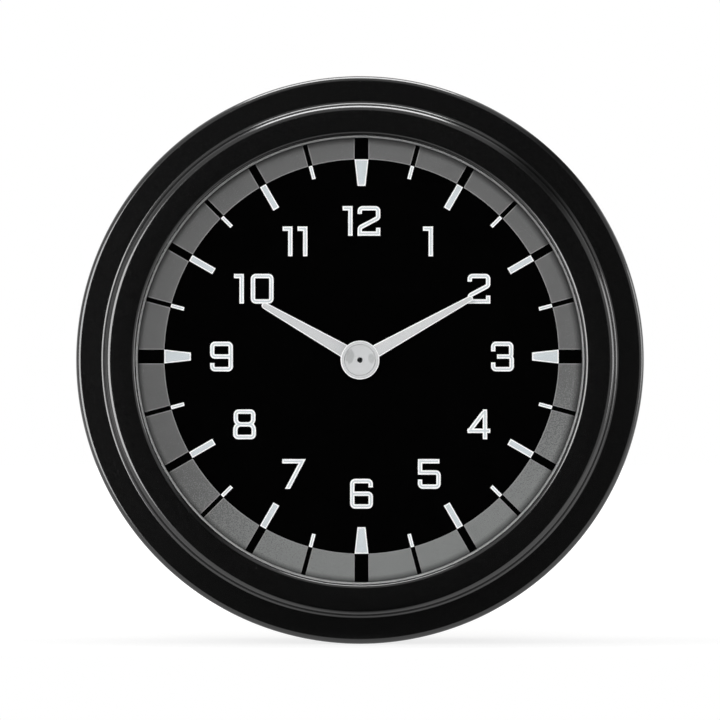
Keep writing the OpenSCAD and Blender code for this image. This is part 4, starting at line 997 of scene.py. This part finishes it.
# Finish of each side of the section: 2 with painted shade in the dish, 1 with a painted highlight on the
# outer edge, 0 elsewhere
hub_paints = [2, 2, 2, 0, 1, 1, 0, 0, 0, 0]
make("minute_hand_plate", [
    hand_blade(MINUTE_LEN, MINUTE_ROOT, MINUTE_W, MINUTE_TIP, MINUTE_BLADE, MINUTE_AT),
    turned(hub_section, HUB_STEPS, hub_paints),
], [hand_lacquer, edge_lacquer_painted_highlight, hub_lacquer_painted_shade], "minute_hand", ["minute_hand"])


# Case and rear fittings

softened("case", CASE_EDGE, case_moulding, case_edges, "clock_body")
clamp = softened("clamp_bracket", CLAMP_EDGE, clamp_plate, clamp_edges, "clamp")
softened("lamp_holder", HOLDER_EDGE, holder_moulding, holder_edges, "lamp")
softened("lamp_blades", BLADE_EDGE, sheet_brass, blade_edges, "lamp")

make("threaded_studs", on_both_sides(stud(STUD_TIP, STUD_HEAD), STUD_X),
     [zinc_plate], "clock_body", ["mounting_studs"])
make("threaded_terminals", on_both_sides(stud(TERMINAL_TIP, TERMINAL_HEAD), TERMINAL_X, TERMINAL_Y),
     [turned_brass], "clock_body", ["terminal_studs"])
nut = hexagon(NUT_AF, NUT_BACK, NUT_FRONT, NUT_HOLE_R)
make("terminal_hex_nuts", on_both_sides([nut], TERMINAL_X, TERMINAL_Y),
     [turned_brass], "clock_body", ["terminal_nuts"])
make("terminal_plain_washers", on_both_sides([washer(WASHER_BACK, WASHER_FRONT)], TERMINAL_X, TERMINAL_Y),
     [zinc_plate], "clock_body", ["terminal_washers"])
make("clamp_plain_washers", on_both_sides([washer(CLAMP_WASHER_BACK, CLAMP_WASHER_FRONT)], STUD_X),
     [zinc_plate], "clamp", ["clamp_washers"])

thumb_grip = THUMB_FRONT - THUMB_SHOULDER
thumb_levels = [(THUMB_BACK, THUMB_BACK_EDGE), (THUMB_BACK + THUMB_BACK_EDGE, 0),
                (thumb_grip - THUMB_FRONT_EDGE, 0), (thumb_grip, THUMB_FRONT_EDGE)]
thumb_section = [(SHOULDER_R, thumb_grip), (SHOULDER_R, THUMB_FRONT - SHOULDER_EDGE),
                 (SHOULDER_R - SHOULDER_EDGE, THUMB_FRONT), (THUMB_HOLE_R, THUMB_FRONT),
                 (THUMB_HOLE_R, THUMB_BACK + THUMB_SINK), (THUMB_HOLE_R + THUMB_SINK, THUMB_BACK)]
thumb_nut = skin(fluted(THUMB_R, THUMB_FLUTES, THUMB_FLUTE_R, thumb_levels)
                 + circles(thumb_section, THUMB_FLUTES * FLUTE_STEPS), loop=True)
make("fluted_thumb_nuts", on_both_sides([thumb_nut], STUD_X),
     [turned_brass], "clamp", ["thumb_nuts"])

knob_steps = KNOB_FLUTES * FLUTE_STEPS
knob_levels = [(KNOB_BACK, KNOB_BACK_EDGE), (KNOB_BACK + KNOB_ROUND_DEEP, KNOB_ROUND_IN),
               (KNOB_BACK + KNOB_BACK_EDGE, 0), (KNOB_FRONT - KNOB_FRONT_EDGE, 0),
               (KNOB_FRONT, KNOB_FRONT_EDGE)]
knob_dish = [(KNOB_DISH_R - KNOB_DISH, KNOB_BACK + KNOB_DISH), (KNOB_DISH_R, KNOB_BACK)]
knob_hole = [(KNOB_HOLE_R, KNOB_FRONT), (KNOB_HOLE_R, (KNOB_FRONT + KNOB_BACK) / 2)]
knob = skin(circles(knob_dish, knob_steps) + fluted(KNOB_R, KNOB_FLUTES, KNOB_FLUTE_R, knob_levels)
            + circles(knob_hole, knob_steps))
make("fluted_knob", [knob], [knob_moulding], "setting", ["setting_knob"], at=(0, KNOB_Y))

# Solids that keep their shape and get a finish
for node, finish in {
    "lens_gasket": seal_rubber, "flange_ring": case_moulding, "front_plate": plate_moulding,
    "rear_plate": sheet_brass, "plate_pillars": turned_brass, "board_spacers": turned_brass,
    "movement_screws": bright_steel, "minute_arbor": bright_steel, "centre_wheel": sheet_brass,
    "minute_wheel": sheet_brass, "hour_wheel": sheet_brass, "setting_shaft": bright_steel,
    "intermediate_wheel": sheet_brass, "intermediate_arbor": bright_steel, "rotor_arbor": bright_steel,
    "rotor_magnet": ferrite, "stator": soft_iron, "coil_core": soft_iron, "coil_bobbin": bobbin_moulding,
    "coil_winding": copper_wire, "circuit_board": laminate, "quartz_crystal": tinned_can,
    "driver_chip": chip_epoxy, "capacitor": sleeve_vinyl, "contact_springs": sheet_brass,
    "lamp_bulb": bulb_glass,
}.items():
    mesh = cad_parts[node].data
    mesh.materials.clear()
    mesh.materials.append(finish)


# Studio: a pale floor, a white backdrop, a soft dome with a dark port for the camera, and four lights

# The view is this wide at the bezel's outer band
FRAME_W = 76.43
SENSOR_W = 36.0
CAMERA_AWAY = 1200.0
CLIP_NEAR, CLIP_FAR = 10.0, 20000.0
# The floor lies just under the bezel, and ends this far in front of the clock
FLOOR_GAP = 0.03
FLOOR = -BEZEL_R - FLOOR_GAP
FLOOR_W = 4000.0
FLOOR_FRONT = 48.0
# A black card with a bent edge on the floor, which shows only in shiny surfaces
CARD_NEAR, CARD_FAR = 4.5, 8.5
CARD_BEND = 0.038
# The shadow shows on the paper round this place, and fades into the white backdrop
SHADOW_Y = 60.0
SHADOW_NEAR, SHADOW_FAR = 70.0, 128.0
SHADOW_WHITE = 0.6
# How much the paper is lifted for the camera, so that it is as white as the backdrop where no shadow falls
PAPER_LIFT = 0.3
# Radiance of the dome and of the port in it, the port's edge in degrees, and how soon the backdrop is white
DOME = 0.56
PORT = 0.0
PORT_IN, PORT_OUT = 11.0, 24.0
BACKDROP_IN = 0.25
# How far the strip lights stand from the clock
STRIP_AWAY = 500.0
# Each strip light: degrees off the camera's axis and round from three o'clock, length, width and radiance
STRIPS = {
    "top_strip": (90.0, 92.0, 400.0, 280.0, 8.0),
    "left_strip": (40.0, 182.0, 380.0, 310.0, 5.6),
    "right_strip": (80.0, 0.0, 330.0, 260.0, 3.2),
}
# A soft light above and left of the camera, which lights matt surfaces and doesn't show in shiny ones
FILL_AWAY = 900.0
FILL_W = 280.0
FILL_OFF = 6.0
FILL_TURN = 105.0
FILL = 29.0
# A dark panel stands between the top and right strips
PANEL_AT = 45.0
PANEL_IN, PANEL_OUT = 4.0, 14.0
PANEL_DARK = 0.1

scene = bpy.context.scene
scene.view_settings.view_transform = "Standard"

camera_data = bpy.data.cameras.new("front_camera")
camera_data.sensor_fit = "HORIZONTAL"
camera_data.sensor_width = SENSOR_W
camera_data.lens = SENSOR_W * (CAMERA_AWAY - OUTER_BAND) / FRAME_W
camera_data.clip_start = CLIP_NEAR * MM
camera_data.clip_end = CLIP_FAR * MM
camera = bpy.data.objects.new("front_camera", camera_data)
camera.location = (0, -CAMERA_AWAY * MM, 0)
camera.rotation_euler = (math.radians(90), 0, 0)
scene.collection.objects.link(camera)
scene.camera = camera


def lamp(name, shape, off, turn, away, length, width, radiance):
    """An area light that faces the clock from a place given by two angles, and isn't seen by the camera."""
    data = bpy.data.lights.new(name, "AREA")
    data.shape = shape
    data.size = length * MM
    data.size_y = width * MM
    area = length * width * MM * MM * (math.pi / 4 if shape == "ELLIPSE" else 1)
    data.energy = radiance * math.pi * area
    light = bpy.data.objects.new(name, data)
    off, turn = math.radians(off), math.radians(turn)
    back = Vector((math.sin(off) * math.cos(turn), -math.cos(off), math.sin(off) * math.sin(turn)))
    along = Vector((-math.sin(turn), 0.0, math.cos(turn)))
    axes = Matrix((along, back.cross(along), back)).transposed()
    light.matrix_world = Matrix.Translation(back * away * MM) @ axes.to_4x4()
    light.visible_camera = False
    scene.collection.objects.link(light)
    return light


fill = lamp("front_fill", "ELLIPSE", FILL_OFF, FILL_TURN, FILL_AWAY, FILL_W, FILL_W, FILL)
fill.visible_glossy = False
fill.visible_transmission = False
# The strips don't light the glass and the broad pale clamp, as if a flag stood in front of each lamp
unlit = bpy.data.collections.new("kept_out_of_the_strips")
for number, piece in enumerate((glass, clamp)):
    unlit.objects.link(piece)
    unlit.collection_objects[number].light_linking.link_state = "EXCLUDE"
for name, (off, turn, length, width, radiance) in STRIPS.items():
    strip = lamp(name, "RECTANGLE", off, turn, STRIP_AWAY, length, width, radiance)
    strip.visible_diffuse = False
    strip.light_linking.receiver_collection = unlit


def cosine(degrees):
    """The cosine of an angle in degrees."""
    return math.cos(math.radians(degrees))


def white_studio():
    """A soft dome with a dark port round the camera and a dark panel. The camera sees it all as white."""
    world = bpy.data.worlds.new("white_studio")
    world.use_nodes = True
    tree = world.node_tree
    tree.nodes.clear()
    way = add(tree, "ShaderNodeSeparateXYZ", {"Vector": add(tree, "ShaderNodeTexCoord").outputs["Generated"]})
    dome = add(tree, "ShaderNodeMapRange", {
        "Value": way.outputs["Y"], "From Min": -cosine(PORT_IN), "From Max": -cosine(PORT_OUT),
        "To Min": PORT, "To Max": DOME}, interpolation_type="SMOOTHSTEP")
    backdrop = add(tree, "ShaderNodeMapRange", {
        "Value": way.outputs["Y"], "From Min": 0.0, "From Max": BACKDROP_IN,
        "To Min": 0.0, "To Max": 1.0 - DOME})
    soft = add(tree, "ShaderNodeMath", {0: dome.outputs["Result"], 1: backdrop.outputs["Result"]},
               operation="ADD")
    level = add(tree, "ShaderNodeCombineXYZ", {"X": way.outputs["X"], "Z": way.outputs["Z"]})
    level = add(tree, "ShaderNodeVectorMath", {0: level.outputs["Vector"]}, operation="NORMALIZE")
    panel_way = (cosine(PANEL_AT), 0.0, math.sin(math.radians(PANEL_AT)))
    towards = add(tree, "ShaderNodeVectorMath", {0: level.outputs["Vector"], 1: panel_way},
                  operation="DOT_PRODUCT")
    panel = add(tree, "ShaderNodeMapRange", {
        "Value": towards.outputs["Value"], "From Min": cosine(PANEL_OUT), "From Max": cosine(PANEL_IN),
        "To Min": 1.0, "To Max": PANEL_DARK})
    soft = add(tree, "ShaderNodeMath", {0: soft.outputs["Value"], 1: panel.outputs["Result"]},
               operation="MULTIPLY")
    path = add(tree, "ShaderNodeLightPath")
    seen = add(tree, "ShaderNodeMath", {0: soft.outputs["Value"], 1: path.outputs["Is Camera Ray"]},
               operation="MAXIMUM")
    sky = add(tree, "ShaderNodeBackground", {"Color": linear("#ffffff"), "Strength": seen.outputs["Value"]})
    add(tree, "ShaderNodeOutputWorld", {"Surface": sky.outputs["Background"]})
    return world


def white_paper():
    """Matt white paper: it shows as the white backdrop does, with the shadow of the clock on it."""
    paper = bpy.data.materials.new("white_paper")
    paper.use_nodes = True
    tree = paper.node_tree
    tree.nodes.clear()
    path = add(tree, "ShaderNodeLightPath")
    shown = add(tree, "ShaderNodeMath", {0: path.outputs["Is Camera Ray"], 1: path.outputs["Is Glossy Ray"]},
                operation="MAXIMUM")
    shown = add(tree, "ShaderNodeMath", {0: shown.outputs["Value"], 1: path.outputs["Is Transmission Ray"]},
                operation="MAXIMUM")
    place = add(tree, "ShaderNodeTexCoord").outputs["Object"]
    away = add(tree, "ShaderNodeVectorMath", {0: place, 1: (0.0, SHADOW_Y * MM, FLOOR * MM)},
               operation="DISTANCE")
    fade = add(tree, "ShaderNodeMapRange", {
        "Value": away.outputs["Value"], "From Min": SHADOW_NEAR * MM, "From Max": SHADOW_FAR * MM,
        "To Min": SHADOW_WHITE, "To Max": 1.0}, interpolation_type="SMOOTHSTEP")
    share = add(tree, "ShaderNodeMath", {0: shown.outputs["Value"], 1: fade.outputs["Result"]},
                operation="MULTIPLY")
    matt = add(tree, "ShaderNodeBsdfDiffuse", {"Color": linear("#f2f2f2")})
    lifted = add(tree, "ShaderNodeMath", {0: path.outputs["Is Camera Ray"], 1: PAPER_LIFT, 2: 1.0},
                 operation="MULTIPLY_ADD")
    white = add(tree, "ShaderNodeEmission", {"Color": linear("#ffffff"), "Strength": lifted.outputs["Value"]})
    both = add(tree, "ShaderNodeMixShader", {
        0: share.outputs["Value"], 1: matt.outputs["BSDF"], 2: white.outputs["Emission"]})
    # The card: its edge bends away from the clock on both sides
    spot = add(tree, "ShaderNodeSeparateXYZ", {"Vector": place})
    bend = add(tree, "ShaderNodeMath", {0: spot.outputs["X"], 1: spot.outputs["X"]}, operation="MULTIPLY")
    bent = add(tree, "ShaderNodeMath", {0: bend.outputs["Value"], 1: CARD_BEND / MM, 2: spot.outputs["Y"]},
               operation="MULTIPLY_ADD")
    ahead = add(tree, "ShaderNodeMapRange", {
        "Value": bent.outputs["Value"], "From Min": -CARD_FAR * MM, "From Max": -CARD_NEAR * MM,
        "To Min": 1.0, "To Max": 0.0})
    card = add(tree, "ShaderNodeMath", {0: ahead.outputs["Result"], 1: path.outputs["Is Glossy Ray"]},
               operation="MULTIPLY")
    black = add(tree, "ShaderNodeEmission", {"Color": linear("#000000")})
    laid = add(tree, "ShaderNodeMixShader", {
        0: card.outputs["Value"], 1: both.outputs["Shader"], 2: black.outputs["Emission"]})
    add(tree, "ShaderNodeOutputMaterial", {"Surface": laid.outputs["Shader"]})
    return paper


scene.world = white_studio()

half_w = FLOOR_W / 2
floor_corners = [(-half_w, -FLOOR_FRONT), (half_w, -FLOOR_FRONT), (half_w, half_w), (-half_w, half_w)]
floor_mesh = bpy.data.meshes.new("pale_floor")
floor_mesh.from_pydata([(x * MM, y * MM, FLOOR * MM) for x, y in floor_corners], [], [(0, 1, 2, 3)])
floor_mesh.materials.append(white_paper())
floor = bpy.data.objects.new("pale_floor", floor_mesh)
scene.collection.objects.link(floor)
